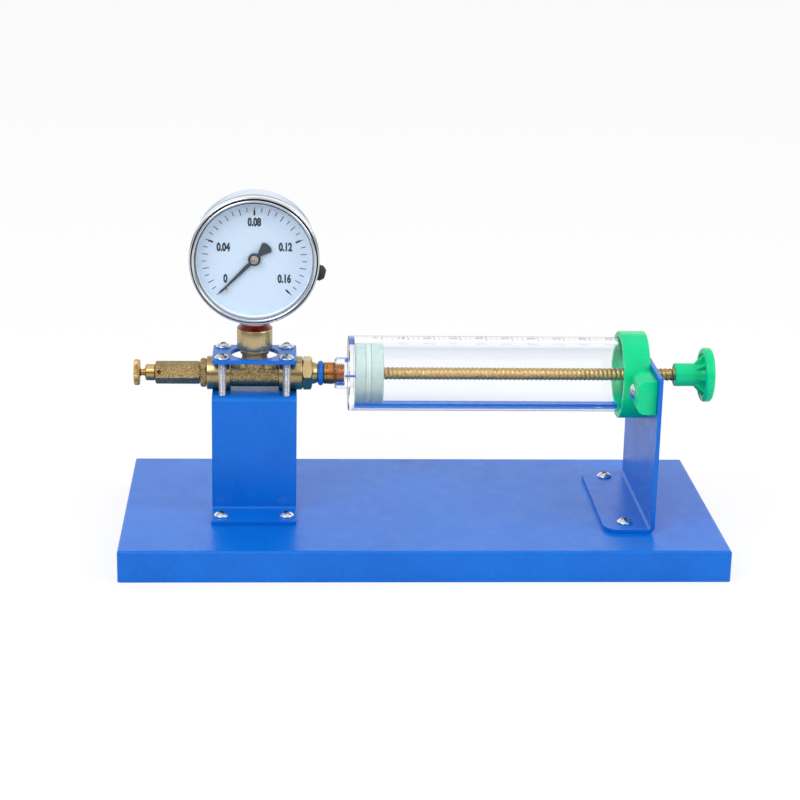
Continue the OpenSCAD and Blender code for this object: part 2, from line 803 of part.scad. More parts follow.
module barrel_end() {
  c = 0.9;
  color([0.85, 0.93, 0.97, 0.5]) on_axis() difference() {
    turned_x([
      [0, nipple_x], [nipple_d / 2 - c, nipple_x], [nipple_d / 2, nipple_x + c],
      [nipple_d / 2, end_x], [barrel_d / 2 - 0.4, end_x], [barrel_d / 2, end_x + 0.4],
      [barrel_d / 2, tube_x], [0, tube_x]
    ]);
    bar_x(sleeve_thread_d + 2 * seat_fit, nipple_x - 1, nipple_x + sleeve_thread_l + 0.3);
    bar_x(air_d, nipple_x, tube_x + 1);
  }
}

module barrel_tube() {
  color([0.85, 0.93, 0.97, 0.4]) on_axis() difference() {
    bar_x(barrel_d, tube_x, tube_end);
    bar_x(bore_d, tube_x - 1, tube_end + 1);
  }
}

module piston() {
  r = piston_d / 2;
  c = 0.5;
  groove_r = r - seal_groove;
  groove_x = piston_x + seal_x;
  pocket_r = retainer_d / 2 + seat_fit;
  color([0.75, 0.85, 0.82]) on_axis() turned_x([
    [0, piston_x], [r - c, piston_x], [r, piston_x + c],
    [r, groove_x], [groove_r, groove_x], [groove_r, groove_x + seal_l], [r, groove_x + seal_l],
    [r, piston_rear - c], [r - c, piston_rear], [pocket_r, piston_rear],
    [pocket_r, piston_rear - pocket_l], [0, piston_rear - pocket_l]
  ]);
}

module piston_seal() {
  x = piston_x + seal_x + seat_fit;
  inner = piston_d / 2 - seal_groove + seat_fit;
  outer = bore_d / 2 - seal_run_fit;
  c = 0.3;
  color([0.66, 0.76, 0.74]) on_axis() turned_x([
    [inner, x], [outer - c, x], [outer, x + c], [outer, x + seal_l - 2 * seat_fit - c],
    [outer - c, x + seal_l - 2 * seat_fit], [inner, x + seal_l - 2 * seat_fit]
  ]);
}

module piston_retainer() {
  color([0.8, 0.8, 0.78]) on_axis() difference() {
    bar_x(retainer_d, piston_rear - retainer_t, piston_rear);
    bar_x(rod_d + 2 * run_fit, piston_rear - retainer_t - 1, piston_rear + 1);
  }
}

module screw_rod() {
  color([0.85, 0.7, 0.4]) on_axis() union() {
    bar_x(thrust_d, thrust_x, thrust_x + thrust_t);
    bar_x(rod_d, thrust_x, rod_end);
  }
}

// The knob: a hub, a disc with a thick round rim, and ribs under the disc
module knob() {
  rim_r = knob_rim_w / 2;
  rim_mid = knob_d / 2 - rim_r;
  face = disc_x + knob_t;
  web = 2.2;
  color([0.02, 0.7, 0.42]) on_axis() difference() {
    union() {
      rotate([0, 90, 0]) rotate_extrude() {
        polygon([
          [0, hub_x], [hub_d / 2 - 0.5, hub_x], [hub_d / 2, hub_x + 0.5],
          [hub_d / 2, disc_x], [hub_d / 2 + 1.4, face - web], [rim_mid, face - web],
          [rim_mid, face], [0, face]
        ]);
        for (x = [rim_r, knob_rim_l - rim_r]) translate([rim_mid, face - x]) circle(rim_r);
        translate([rim_mid - rim_r, face - knob_rim_l + rim_r])
          square([knob_rim_w, knob_rim_l - knob_rim_w]);
      }
      for (i = [0 : knob_ribs - 1]) rotate([i * 360 / knob_ribs, 0, 0]) along_y(knob_rib_t)
        polygon([
          [disc_x - 2.4, hub_d / 2 - 0.3], [face - knob_rim_l + 0.8, rim_mid - 0.4],
          [face - 1, rim_mid - 0.4], [face - 1, hub_d / 2 - 0.3]
        ]);
    }
    bar_x(rod_d + 2 * seat_fit, hub_x - 1, rod_end + 0.1);
  }
}

// ---------- collar ----------

// The lugs' front view, in X and Z: two rounded corners on the barrel's side
module lug_side() {
  translate([plate_x - lug_l + lug_r, -lug_h / 2]) square([lug_l - lug_r, lug_h]);
  translate([plate_x - lug_l, -lug_h / 2 + lug_r]) square([lug_l, lug_h - 2 * lug_r]);
  for (s = [-1, 1]) translate([plate_x - lug_l + lug_r, s * (lug_h / 2 - lug_r)]) circle(lug_r);
}

module end_collar() {
  pocket = feed_l + 0.2;
  color([0.02, 0.72, 0.45]) on_axis() difference() {
    union() {
      turned_x(chamfered(collar_d / 2, collar_x, plate_x, 0.6));
      along_y(lug_span) lug_side();
    }
    bar_x(barrel_d + 2 * seat_fit, collar_x - 1, tube_end);
    bar_x(rod_d + 1, tube_end - 1, plate_x + 1);
    hex_x(feed_af + 4 * seat_fit, plate_x - pocket, plate_x + 1);
    for (s = [-1, 1]) translate([0, s * collar_pitch / 2, 0])
      bar_x(screw_d + 2 * hole_fit, plate_x - lug_l - 1, plate_x + 1);
  }
}

module feed_nut() {
  color([0.8, 0.65, 0.35]) on_axis() difference() {
    hex_x(feed_af, plate_x - feed_l, plate_x);
    bar_x(rod_d + 2 * run_fit, plate_x - feed_l - 1, plate_x + 1);
  }
}

// Tapped into the bracket, flush with its back
module collar_screws() {
  grip = lug_l + sheet_t;
  color([0.8, 0.82, 0.85]) on_axis() for (s = [-1, 1])
    translate([plate_x - lug_l, s * collar_pitch / 2, 0]) rotate([0, -90, 0])
      pan_screw(screw_d, grip, head_d, head_h);
}

// ---------- gauge: stem and case ----------

module gauge_washer() {
  color([0.55, 0.08, 0.05]) translate([gauge_x, 0, axis_z + cup_top]) rotate_extrude() polygon([
    [stem_thread_d / 2 + seat_fit, 0], [cup_d / 2, 0], [stem_d / 2 + 0.1, washer_h],
    [stem_thread_d / 2 + seat_fit, washer_h]
  ]);
}

// The Bourdon tube's section, offset outwards by g, turned round the dial's
// centre from angle a through a sweep of s degrees
module curved_tube(g, a, s) {
  w = tube_w + 2 * g;
  t = tube_t + 2 * g;
  translate([0, 0, tube_mid]) rotate(a) rotate_extrude(angle = s) translate([tube_r, 0]) {
    square([t, w - t], center = true);
    for (y = [-1, 1]) translate([0, y * (w - t) / 2]) circle(d = t);
  }
}

module gauge_stem() {
  back = case_back - case_t;
  color([0.72, 0.6, 0.36]) difference() {
    union() {
      translate([gauge_x, 0, axis_z + cup_top - stem_thread_l]) cylinder(d = stem_thread_d, h = stem_thread_l + 1);
      translate([gauge_x, 0, axis_z + washer_top])
        cylinder(d = stem_d, h = gauge_rise - washer_top + block_bottom + 2);
      translate([gauge_x, 0, axis_z + cup_top]) cylinder(d = stem_thread_d, h = washer_h + 1);
      in_gauge() translate([-block_w / 2, block_bottom, -back])
        cube([block_w, block_top - block_bottom, back + back_plate[0]]);
    }
    translate([gauge_x, 0, axis_z + cup_top - stem_thread_l - 1])
      cylinder(d = air_d, h = gauge_rise - tube_r - cup_top + stem_thread_l + 2);
    in_gauge() {
      curved_tube(seat_fit, tube_root_angle - 20, 20 + seat_fit);
      // joins the upright passage to the tube's open end
      translate([-3, 0.2 - tube_r, -1]) rotate([0, 90, 0]) cylinder(d = 2, h = 3);
      for (p = frame_screws) post(p, frame_screw_d + 2 * seat_fit, back_plate[0] - 3.2, back_plate[0] + 1);
      for (p = case_screw_places) post(p, case_screw_d + 2 * seat_fit, -back - 1, -back + 4.2);
    }
  }
}

module gauge_case() {
  r = case_d / 2;
  color([0.78, 0.8, 0.82]) in_gauge() difference() {
    rotate_extrude() difference() {
      union() {
        translate([0, -case_back]) square([r - case_r, case_r]);
        translate([0, case_r - case_back]) square([r, case_front + case_back - case_r]);
        translate([r - case_r, case_r - case_back]) circle(case_r);
      }
      translate([0, case_t - case_back]) square([r - case_r, case_r]);
      translate([0, case_r - case_back]) square([r - case_t, case_front + case_back]);
      translate([r - case_r, case_r - case_back]) circle(case_r - case_t);
      translate([-2 * r, -2 * r]) square([2 * r, 4 * r]);
    }
    rotate([90, 0, 0]) translate([0, 0, case_in_r - 5]) cylinder(d = stem_d + 4 * seat_fit, h = 10);
    rotate(-plug_angle) translate([case_in_r - 5, 0, plug_z]) rotate([0, 90, 0])
      cylinder(d = plug_bore_d, h = 10);
    for (p = case_screw_places) post(p, case_screw_d + 2 * hole_fit, -case_back - 1, 0);
  }
}

module case_screws() {
  color([0.78, 0.8, 0.82]) in_gauge() for (p = case_screw_places)
    translate([p[0], p[1], -case_back]) rotate([180, 0, 0]) pan_screw(case_screw_d, case_t + 4, 5.6, 1.8);
}

module gauge_bezel() {
  r = bezel_d / 2;
  seat_r = case_d / 2 + seat_fit;
  lip_r = case_in_r - bezel_lip + case_t;
  back = bezel_front - bezel_l;
  round_r = bezel_lip_t;
  color([0.85, 0.87, 0.9]) in_gauge() rotate_extrude() difference() {
    union() {
      translate([lip_r, back]) square([r - lip_r, bezel_l - round_r]);
      translate([lip_r, back]) square([r - lip_r - round_r, bezel_l]);
      translate([r - round_r, bezel_front - round_r]) circle(round_r);
    }
    translate([0, back - 1]) square([seat_r, bezel_l - bezel_lip_t + 1]);
  }
}

module gauge_window() {
  color([0.9, 0.95, 1, 0.3]) in_gauge() post([0, 0], case_d - 0.2, case_front, case_front + window_t);
}

module gauge_dial() {
  pin = zero_pin_place;
  color([0.93, 0.95, 0.97]) in_gauge() difference() {
    post([0, 0], 2 * case_in_r - 0.2, dial_back, dial_front);
    post([0, 0], shaft_d + 1.4, dial_back - 1, dial_front + 1);
    post(pin, zero_pin_d + 2 * seat_fit, dial_back - 1, dial_front + 1);
  }
}

module dial_ring() {
  outer = 2 * case_in_r - 0.2;
  color([0.95, 0.96, 0.97]) in_gauge() difference() {
    post([0, 0], outer, dial_front, case_front);
    post([0, 0], outer - 2 * dial_ring_w, dial_front - 1, case_front + 1);
  }
}

// The stop that the pointer rests against at zero
module zero_pin() {
  color([0.75, 0.7, 0.6]) in_gauge() union() {
    post(zero_pin_place, zero_pin_d, dial_back - 0.6, pointer_back + pointer_t + 0.5);
    post(zero_pin_place, zero_pin_d + 1, dial_back - 0.6, dial_back);
  }
}

module relief_plug() {
  r = plug_d / 2;
  neck = plug_bore_d / 2 - seat_fit;
  seat = case_d / 2;
  inside = case_in_r;
  color([0.06, 0.06, 0.07]) in_gauge() rotate(-plug_angle) translate([0, 0, plug_z]) turned_x([
    [0, inside - 1.6], [neck - 0.4, inside - 1.6], [neck, inside - 1], [neck, seat],
    [r - 0.7, seat], [r, seat + 1.6], [r, seat + plug_l - 1.8], [r - 1.6, seat + plug_l], [0, seat + plug_l]
  ]);
}

// ---------- gauge: movement ----------

module bourdon_tube() {
  sweep = tube_root_angle - tube_tip_angle;
  color([0.75, 0.58, 0.32]) in_gauge() difference() {
    curved_tube(0, tube_tip_angle, sweep);
    curved_tube(-0.5, tube_tip_angle - 1, sweep + 2);
  }
}

// The closed end of the tube, with an ear that reaches to the link
module tube_tip() {
  tip = tube_r * [cos(tube_tip_angle), sin(tube_tip_angle)];
  back = tube_mid - tube_w / 2 - 0.7;
  front = tube_mid + tube_w / 2 + 0.7;
  color([0.7, 0.56, 0.3]) in_gauge() difference() {
    union() {
      rotate(tube_tip_angle - 5) rotate_extrude(angle = 8)
        translate([tube_r - tube_t / 2 - 0.8, back]) square([tube_t + 1.6, front - back]);
      slab([front - 1, ear_layer[1]]) intersection() {
        strip(tip, ear, 2.6);
        translate(tip - [2.6, 4]) square([6, 8]);
      }
      slab(ear_layer) strip(tip, ear, 2.6);
    }
    curved_tube(seat_fit, tube_tip_angle - 0.2, 10);
  }
}

module frame_plate(layer, bottom) {
  slab(layer) difference() {
    translate([0, (frame_top + bottom) / 2]) round_rect(frame_w, frame_top - bottom, 1.5);
    translate(pivot) circle(d = pivot_d + 2 * run_fit);
  }
}

module movement_frame() {
  color([0.76, 0.62, 0.34]) in_gauge() difference() {
    union() {
      frame_plate(front_plate, frame_bottom);
      frame_plate(back_plate, foot_bottom);
      for (p = pillars) post(p, pillar_d, back_plate[1] - eps, front_plate[0] + eps);
      for (p = [pillars[0], pillars[1]]) post(p, pillar_d, front_plate[1] - eps, dial_back);
    }
    post([0, 0], pivot_d + 2 * run_fit, back_plate[0] - 1, back_plate[1] + 1);
    post([0, 0], shaft_d + 2 * run_fit, front_plate[0] - 1, front_plate[1] + 1);
    for (p = frame_screws) post(p, frame_screw_d + 2 * seat_fit, back_plate[0] - 1, back_plate[1] + 1);
  }
}

module movement_screws() {
  color([0.7, 0.72, 0.75]) in_gauge() for (p = frame_screws)
    translate([p[0], p[1], back_plate[1]]) pan_screw(frame_screw_d, back_plate[1] - back_plate[0] + 3, 3.4, 1.1);
}

// One gear tooth: involute flanks from the root circle to the tip circle
function involute_angle(r, rb) = r <= rb ? 0 : sqrt(r * r / (rb * rb) - 1) * 180 / PI - acos(rb / r);
function half_tooth(r, z) = let(
    rp = gear_m * z / 2,
    rb = rp * cos(pressure_angle),
    half = 90 / z - tooth_backlash / (2 * rp) * 180 / PI
  ) half + involute_angle(rp, rb) - involute_angle(r, rb);
function tooth_radius(i, z) = let(
    low = gear_m * (z / 2 - tooth_ded),
    high = gear_m * (z / 2 + tooth_add)
  ) low + (high - low) * i / flank_steps;
function tooth_point(i, z, side) = let(
    r = tooth_radius(i, z),
    a = side * half_tooth(r, z)
  ) r * [cos(a), sin(a)];

module tooth(z) {
  root = gear_m * (z / 2 - tooth_ded) - 0.3;
  a = half_tooth(root + 0.3, z);
  polygon(concat(
    [root * [cos(a), sin(-a)]],
    [for (i = [0 : flank_steps]) tooth_point(i, z, -1)],
    [for (i = [flank_steps : -1 : 0]) tooth_point(i, z, 1)],
    [root * [cos(a), sin(a)]]
  ));
}

// The sector's drawing, its pivot at the origin and its first tooth in the
// pinion's direction, where the two meet at rest
module sector_shape() {
  pitch = 360 / sector_z;
  span = pitch * (sector_teeth - 1);
  root = gear_m * (sector_z / 2 - tooth_ded);
  from = mesh_angle + pitch * 1.5 - span;
  to = mesh_angle + pitch * 2.5;
  rim = 2;
  spoke = 5;
  difference() {
    intersection() {
      circle(root);
      polygon([[0, 0], 20 * [cos(from), sin(from)], 20 * [cos((from + to) / 2), sin((from + to) / 2)],
        20 * [cos(to), sin(to)]]);
    }
    intersection() {
      difference() {
        circle(root - rim);
        circle(3.6);
      }
      polygon([[0, 0], 20 * [cos(from + spoke), sin(from + spoke)],
        20 * [cos((from + to) / 2), sin((from + to) / 2)], 20 * [cos(to - spoke), sin(to - spoke)]]);
    }
  }
  for (i = [0 : sector_teeth - 1]) rotate(mesh_angle + 2 * pitch - i * pitch) tooth(sector_z);
  circle(2.4);
  strip([0, 0], tail_l * [cos(tail_angle), sin(tail_angle)], 2.4);
}

module sector_gear() {
  color([0.8, 0.66, 0.36]) in_gauge() union() {
    translate(pivot) slab(sector_layer) sector_shape();
    post(pivot, pivot_d, back_plate[0] + 0.1, front_plate[1] - 0.1);
    post(pivot, 1.8, back_plate[1] + 0.3, front_plate[0] - 0.3);
    post(tail_pin, pivot_d, link_layer[0] - 0.2, sector_layer[0] + eps);
  }
}

module link() {
  color([0.6, 0.62, 0.65]) in_gauge() slab(link_layer) difference() {
    union() {
      strip(tail_pin, ear, 1.4);
      translate(tail_pin) circle(1.3);
      translate(ear) circle(1.3);
    }
    translate(tail_pin) circle(d = pivot_d + 2 * run_fit);
    translate(ear) circle(d = pivot_d + 2 * run_fit);
  }
}

module pinion() {
  gap = 180 / pinion_z;
  color([0.82, 0.68, 0.38]) in_gauge() union() {
    slab(pinion_layer) {
      circle(gear_m * (pinion_z / 2 - tooth_ded) + eps);
      for (i = [0 : pinion_z - 1]) rotate(gap - mesh_angle + i * 2 * gap) tooth(pinion_z);
    }
    post([0, 0], pivot_d, back_plate[0] + 0.1, back_plate[1] + 0.6);
    post([0, 0], shaft_d, back_plate[1] + 0.3, hub_back);
    post([0, 0], pivot_d, hub_back - eps, hub_front);
  }
}

// A flat spiral round the pinion's shaft, from its collet to its stud
function spiral(i, side) = let(
    n = spring_turns * spring_steps,
    r = spring_in + (spring_out - spring_in) * i / n + side * spring_t / 2,
    a = i * 360 / spring_steps
  ) r * [cos(a), sin(a)];

module hairspring() {
  n = spring_turns * spring_steps;
  stud = [spring_out, 0];
  color([0.55, 0.5, 0.4]) in_gauge() union() {
    slab(spring_layer) {
      polygon(concat([for (i = [0 : n]) spiral(i, -1)], [for (i = [n : -1 : 0]) spiral(i, 1)]));
      difference() {
        circle(spring_in + 0.1);
        circle(d = shaft_d + 2 * run_fit);
      }
    }
    post(stud, 0.8, spring_layer[0], front_plate[0]);
  }
}

// The blade and the fan tail, drawn with the tip along +x
module pointer_shape() {
  tail = -pointer_tail_l;
  w = pointer_tail_w / 2;
  polygon([[0, 1.1], [pointer_l - 1, 0.35], [pointer_l, 0], [pointer_l - 1, -0.35], [0, -1.1]]);
  intersection() {
    polygon([[0, 0.5], [-pointer_hub_d / 2, 0.9], [tail * 0.86, w], [tail, w * 0.55],
      [tail, -w * 0.55], [tail * 0.86, -w], [-pointer_hub_d / 2, -0.9], [0, -0.5]]);
    circle(pointer_tail_l);
  }
}

module pointer() {
  color([0.08, 0.08, 0.1]) in_gauge() rotate(zero_angle) difference() {
    union() {
      slab([pointer_back, pointer_back + pointer_t]) pointer_shape();
      post([0, 0], pointer_hub_d, hub_back, hub_front);
    }
    post([0, 0], pivot_d + 2 * seat_fit, hub_back - 1, hub_front + 1);
  }
}

module pointer_cap() {
  color([0.75, 0.72, 0.68]) in_gauge() intersection() {
    post([0, 0], pointer_cap_d, hub_front, cap_front);
    translate([0, 0, cap_front - 6]) sphere(6);
  }
}

base_pan();
foot_screws();
foot_nuts();
gauge_bracket();
clamp_plate();
clamp_screws();
tee_fitting();
valve_lock_nut();
valve_body();
valve_gland();
valve_seat();
valve_spindle();
outlet_connector();
sealing_ring();
copper_sleeve();
barrel_end();
barrel_tube();
piston();
piston_seal();
piston_retainer();
screw_rod();
knob();
end_collar();
feed_nut();
collar_screws();
barrel_bracket();
gauge_washer();
gauge_stem();
gauge_case();
case_screws();
gauge_bezel();
gauge_window();
gauge_dial();
dial_ring();
zero_pin();
relief_plug();
bourdon_tube();
tube_tip();
movement_frame();
movement_screws();
sector_gear();
link();
pinion();
hairspring();
pointer();
pointer_cap();
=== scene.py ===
"""The looks of the Boyle's law apparatus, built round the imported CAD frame.

Metres, in the CAD's frame: +X runs from the bleed valve to the knob, the dial faces -Y, and
z = 0 is the bench. The points of a turned profile or of an outline are in millimetres.
"""

import math

import bmesh
import bpy
from mathutils import Matrix, Vector


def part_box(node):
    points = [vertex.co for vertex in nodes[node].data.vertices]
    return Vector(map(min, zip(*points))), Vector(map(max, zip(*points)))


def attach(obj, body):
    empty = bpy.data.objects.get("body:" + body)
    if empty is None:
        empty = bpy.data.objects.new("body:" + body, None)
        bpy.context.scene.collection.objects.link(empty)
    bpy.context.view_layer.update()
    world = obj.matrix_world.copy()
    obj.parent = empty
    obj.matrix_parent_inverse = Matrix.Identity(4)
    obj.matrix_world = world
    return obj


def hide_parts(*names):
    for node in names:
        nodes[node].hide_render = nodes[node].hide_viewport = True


MM = 0.001

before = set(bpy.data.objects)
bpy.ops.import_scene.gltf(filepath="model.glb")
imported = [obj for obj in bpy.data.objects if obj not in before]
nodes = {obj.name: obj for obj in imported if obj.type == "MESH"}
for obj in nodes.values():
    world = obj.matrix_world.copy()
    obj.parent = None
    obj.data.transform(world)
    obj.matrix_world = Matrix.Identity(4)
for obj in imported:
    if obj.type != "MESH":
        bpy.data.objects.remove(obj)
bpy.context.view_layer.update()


# ---------- places read from the frame ----------


def centre(node):
    low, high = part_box(node)
    return (low + high) / 2


def size(node):
    low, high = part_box(node)
    return high - low


def radius_mm(node):
    """The radius, in millimetres, of a piece that is round about a level axis."""
    return size(node).z / 2 / MM


def length_mm(node):
    """The length along X, in millimetres."""
    return size(node).x / MM


AXIS_Z = centre("barrel_tube").z
GAUGE = centre("gauge_dial")
TUBE_R = size("barrel_tube").z / 2
DIAL_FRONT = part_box("gauge_dial")[0].y

X_FROM_Z = Matrix.Rotation(math.radians(90), 4, "Y")
# The gauge's own view: x to the right, y up and z out of the dial
IN_GAUGE = Matrix.Translation((GAUGE.x, 0, GAUGE.z)) @ Matrix.Rotation(math.radians(90), 4, "X")


def along_x(x):
    """Lays a piece that was built up Z along the barrel's axis, its foot at x."""
    return Matrix.Translation((x, 0, AXIS_Z)) @ X_FROM_Z


# ---------- mesh helpers ----------

SHARP_ANGLE = 32
BEVEL_ANGLE = 35
SMALLEST_R = 1e-5


def linked(name, data):
    """A new object of the scene with the given data."""
    obj = bpy.data.objects.new(name, data)
    bpy.context.scene.collection.objects.link(obj)
    return obj


def mesh_object(name, bm, angle=SHARP_ANGLE):
    """Turns a bmesh into an object, smooth except at edges sharper than the angle in degrees."""
    bmesh.ops.recalc_face_normals(bm, faces=bm.faces)
    mesh = bpy.data.meshes.new(name)
    bm.to_mesh(mesh)
    bm.free()
    mesh.shade_smooth()
    mesh.set_sharp_from_angle(angle=math.radians(angle))
    return linked(name, mesh)


def skin(rings, looped=False):
    """A skin over rings of points. It has end caps, or is looped back to its first ring."""
    bm = bmesh.new()
    rows = [[bm.verts.new(p) for p in ring] for ring in rings]
    following = rows[1:] + rows[:1] if looped else rows[1:]
    for low, high in zip(rows, following):
        for j in range(len(low)):
            k = (j + 1) % len(low)
            bm.faces.new((low[j], low[k], high[k], high[j]))
    if not looped:
        bm.faces.new(rows[0][::-1])
        bm.faces.new(rows[-1])
    return bm


def circle_points(radius, z, segments):
    """Evenly spaced points on a level circle."""
    turns = [2 * math.pi * j / segments for j in range(segments)]
    return [Vector((radius * math.cos(a), radius * math.sin(a), z)) for a in turns]


def lathe(profile, segments, closed=False):
    """Turns (radius, z) points, in metres, round Z. A closed profile makes a ring."""
    return skin([circle_points(max(r, SMALLEST_R), z, segments) for r, z in profile], closed)


def turned(profile, segments=96, closed=True):
    """A lathed part from a profile in millimetres."""
    return lathe([(r * MM, z * MM) for r, z in profile], segments, closed)


def extruded(points, low, high):
    """A flat outline in X and Z, in millimetres, carried along Y from low to high."""
    return skin([[(x * MM, y * MM, z * MM) for x, z in points] for y in (low, high)])


def arc(cx, cz, radius, start, end, steps=6):
    """Points on an arc in the profile's plane, angles in degrees."""
    points = []
    for i in range(steps + 1):
        a = math.radians(start + (end - start) * i / steps)
        points.append((cx + radius * math.cos(a), cz + radius * math.sin(a)))
    return points


def moved(bm, matrix):
    """Moves a part, and returns it."""
    bmesh.ops.transform(bm, matrix=matrix, verts=bm.verts)
    return bm


def copied(bm, matrix):
    return moved(bm.copy(), matrix)


def joined(parts):
    """One bmesh from several."""
    whole = bmesh.new()
    for part in parts:
        mesh = bpy.data.meshes.new("part")
        part.to_mesh(mesh)
        part.free()
        whole.from_mesh(mesh)
        bpy.data.meshes.remove(mesh)
    return whole


def settled(obj):
    """The object's shape with its modifiers applied, as a bmesh. The object is removed."""
    graph = bpy.context.evaluated_depsgraph_get()
    graph.update()
    mesh = bpy.data.meshes.new_from_object(obj.evaluated_get(graph))
    bm = bmesh.new()
    bm.from_mesh(mesh)
    bpy.data.meshes.remove(mesh)
    bpy.data.objects.remove(obj)
    return bm


def boolean(first, second, operation):
    """One bmesh joined with or cut by another."""
    a = mesh_object("a", first)
    b = mesh_object("b", second)
    tool = a.modifiers.new("tool", "BOOLEAN")
    tool.operation = operation
    tool.solver = "EXACT"
    tool.object = b
    result = settled(a)
    bpy.data.objects.remove(b)
    return result


def bevelled(bm, width):
    """The part with its sharp edges rounded to about the given width."""
    obj = mesh_object("bevel", bm)
    tool = obj.modifiers.new("bevel", "BEVEL")
    tool.width = width
    tool.segments = 2
    tool.limit_method = "ANGLE"
    tool.angle_limit = math.radians(BEVEL_ANGLE)
    tool.use_clamp_overlap = True
    return settled(obj)


def box_bmesh(low, high):
    bm = bmesh.new()
    bmesh.ops.create_cube(bm, size=1)
    low, high = Vector(low), Vector(high)
    return moved(bm, Matrix.Translation((low + high) / 2) @ Matrix.Diagonal((*(high - low), 1)))


def indexed(bm, number):
    """Gives every face of a part the piece's look of that number."""
    for face in bm.faces:
        face.material_index = number
    return bm


# ---------- shader trees ----------

WHITE = (1, 1, 1, 1)


def linear(*screen):
    """A screen colour, 0 to 255, as the linear colour that shaders use."""
    shares = [c / 255 for c in screen]
    return (*[s / 12.92 if s <= 0.04045 else ((s + 0.055) / 1.055) ** 2.4 for s in shares], 1.0)


def scaled(colour, factor):
    """A colour darkened or lightened by a factor."""
    return (*[c * factor for c in colour[:3]], 1)


class Tree:
    """A node tree, with short calls for the nodes that its users share."""

    def __init__(self, tree):
        self.tree = tree

    def add(self, kind, **inputs):
        """Adds a node. An input's name has _ for each space."""
        node = self.tree.nodes.new(kind)
        for key, value in inputs.items():
            self.put(node.inputs[key.replace("_", " ")], value)
        return node

    def named(self, name):
        """One of the nodes that a new tree starts with."""
        return self.tree.nodes[name]

    def put(self, socket, value):
        """Links another node's output to a socket, or sets it to a plain value."""
        if isinstance(value, bpy.types.NodeSocket):
            self.tree.links.new(value, socket)
        else:
            socket.default_value = value

    def maths(self, operation, first, second=0.0):
        node = self.add("ShaderNodeMath")
        node.operation = operation
        self.put(node.inputs[0], first)
        self.put(node.inputs[1], second)
        return node.outputs[0]

    def mixed(self, factor, first, second):
        """A blend of two colours, all of the first where the factor is 0."""
        node = self.add("ShaderNodeMix")
        node.data_type = "RGBA"
        self.put(node.inputs["Factor"], factor)
        self.put(node.inputs[6], first)
        self.put(node.inputs[7], second)
        return node.outputs[2]


class Look(Tree):
    """A material's node tree, with patterns laid out in millimetres of the object."""

    def __init__(self, name):
        self.material = bpy.data.materials.new(name)
        self.material.use_nodes = True
        super().__init__(self.material.node_tree)
        self.shader = self.named("Principled BSDF")
        self.place = self.vector_maths("SCALE", self.add("ShaderNodeTexCoord").outputs["Object"])
        self.place.node.inputs["Scale"].default_value = 1 / MM

    def set(self, **values):
        """Sets inputs of the shader. An input's name has _ for each space."""
        for key, value in values.items():
            self.put(self.shader.inputs[key.replace("_", " ")], value)
        return self

    def vector_maths(self, operation, vector):
        node = self.add("ShaderNodeVectorMath")
        node.operation = operation
        self.put(node.inputs[0], vector)
        return node.outputs[0]

    def stretched(self, x, y, z):
        """The place with its axes multiplied, so that a pattern shrinks along each by as much."""
        place = self.vector_maths("MULTIPLY", self.place)
        place.node.inputs[1].default_value = (x, y, z)
        return place

    def noise(self, cell, detail=3.0, rough=0.5, vector=None):
        """Cloudy noise, 0 to 1, whose cells are about so many millimetres wide."""
        node = self.add("ShaderNodeTexNoise", Scale=1 / cell, Detail=detail, Roughness=rough)
        self.put(node.inputs["Vector"], vector or self.place)
        return node.outputs["Fac"]

    def ranged(self, value, source, target=(0, 1)):
        """A value carried from one (low, high) range to another, and kept within it."""
        node = self.add("ShaderNodeMapRange", Value=value)
        limits = zip(("From Min", "From Max", "To Min", "To Max"), (*source, *target))
        for key, limit in limits:
            node.inputs[key].default_value = limit
        return node.outputs["Result"]

    def tinted(self, first, second, pattern, source, most=1):
        """The first colour, going over to the second as a pattern crosses its (low, high)."""
        return self.mixed(self.ranged(pattern, source, (0, most)), first, second)

    def soft_edges(self, radius):
        """The normal of the surface with its edges rounded, radius in millimetres."""
        node = self.add("ShaderNodeBevel", Radius=radius * MM)
        node.samples = 4
        return node.outputs["Normal"]

    def bump(self, height, depth, normal=None):
        """A bump of the given depth in millimetres. It can be chained on another normal."""
        node = self.add("ShaderNodeBump", Strength=1.0, Distance=depth * MM, Height=height)
        if normal is not None:
            self.put(node.inputs["Normal"], normal)
        return node.outputs["Normal"]


# ---------- kinds of material ----------

# What most cloudy patterns start and end at, out of the noise's 0 to 1
WIDE = (0.3, 0.7)
CLOUDS = (0.35, 0.7)


def powder_coat(name, colour, dark, pale):
    """Semi-gloss powder coat with the fine orange peel of a sprayed sheet."""
    look = Look(name)
    fine = look.noise(1.1, 2)
    base = look.tinted(dark, colour, look.noise(28, 2), WIDE)
    base = look.tinted(base, pale, fine, (0.52, 0.75), 0.3)
    peel = look.bump(fine, 0.022, look.soft_edges(0.5))
    grain = look.bump(look.noise(0.42, 1), 0.006, peel)
    rough = look.ranged(look.noise(9, 3), WIDE, (0.26, 0.34))
    look.set(Base_Color=base, Roughness=rough, Normal=grain, Specular_IOR_Level=0.3)
    return look.material


def metal(look, base, rough, normal):
    """Finishes a look as bare metal."""
    return look.set(Base_Color=base, Metallic=1.0, Roughness=rough, Normal=normal).material


def turned_metal(name, colour, dark, rough, edge=0.25, grain=0.004, streak=(0.25, 6, 6), blotch=6):
    """Machined metal: fine turning lines, each as long as streak says, and faint tarnish."""
    look = Look(name)
    tarnish = look.ranged(look.noise(blotch, 4, 0.6), (0.35, 0.72))
    lines = look.noise(0.5, 2, 0.6, look.stretched(*[1 / s for s in streak]))
    base = look.mixed(tarnish, colour, dark)
    base = look.tinted(base, dark, lines, (0.35, 0.65), 0.35)
    scratched = look.ranged(lines, WIDE, (rough * 0.8, rough * 1.15))
    dulled = look.ranged(tarnish, (0, 1), (0, rough * 0.35))
    normal = look.bump(lines, grain, look.soft_edges(edge))
    return metal(look, base, look.maths("ADD", scratched, dulled), normal)


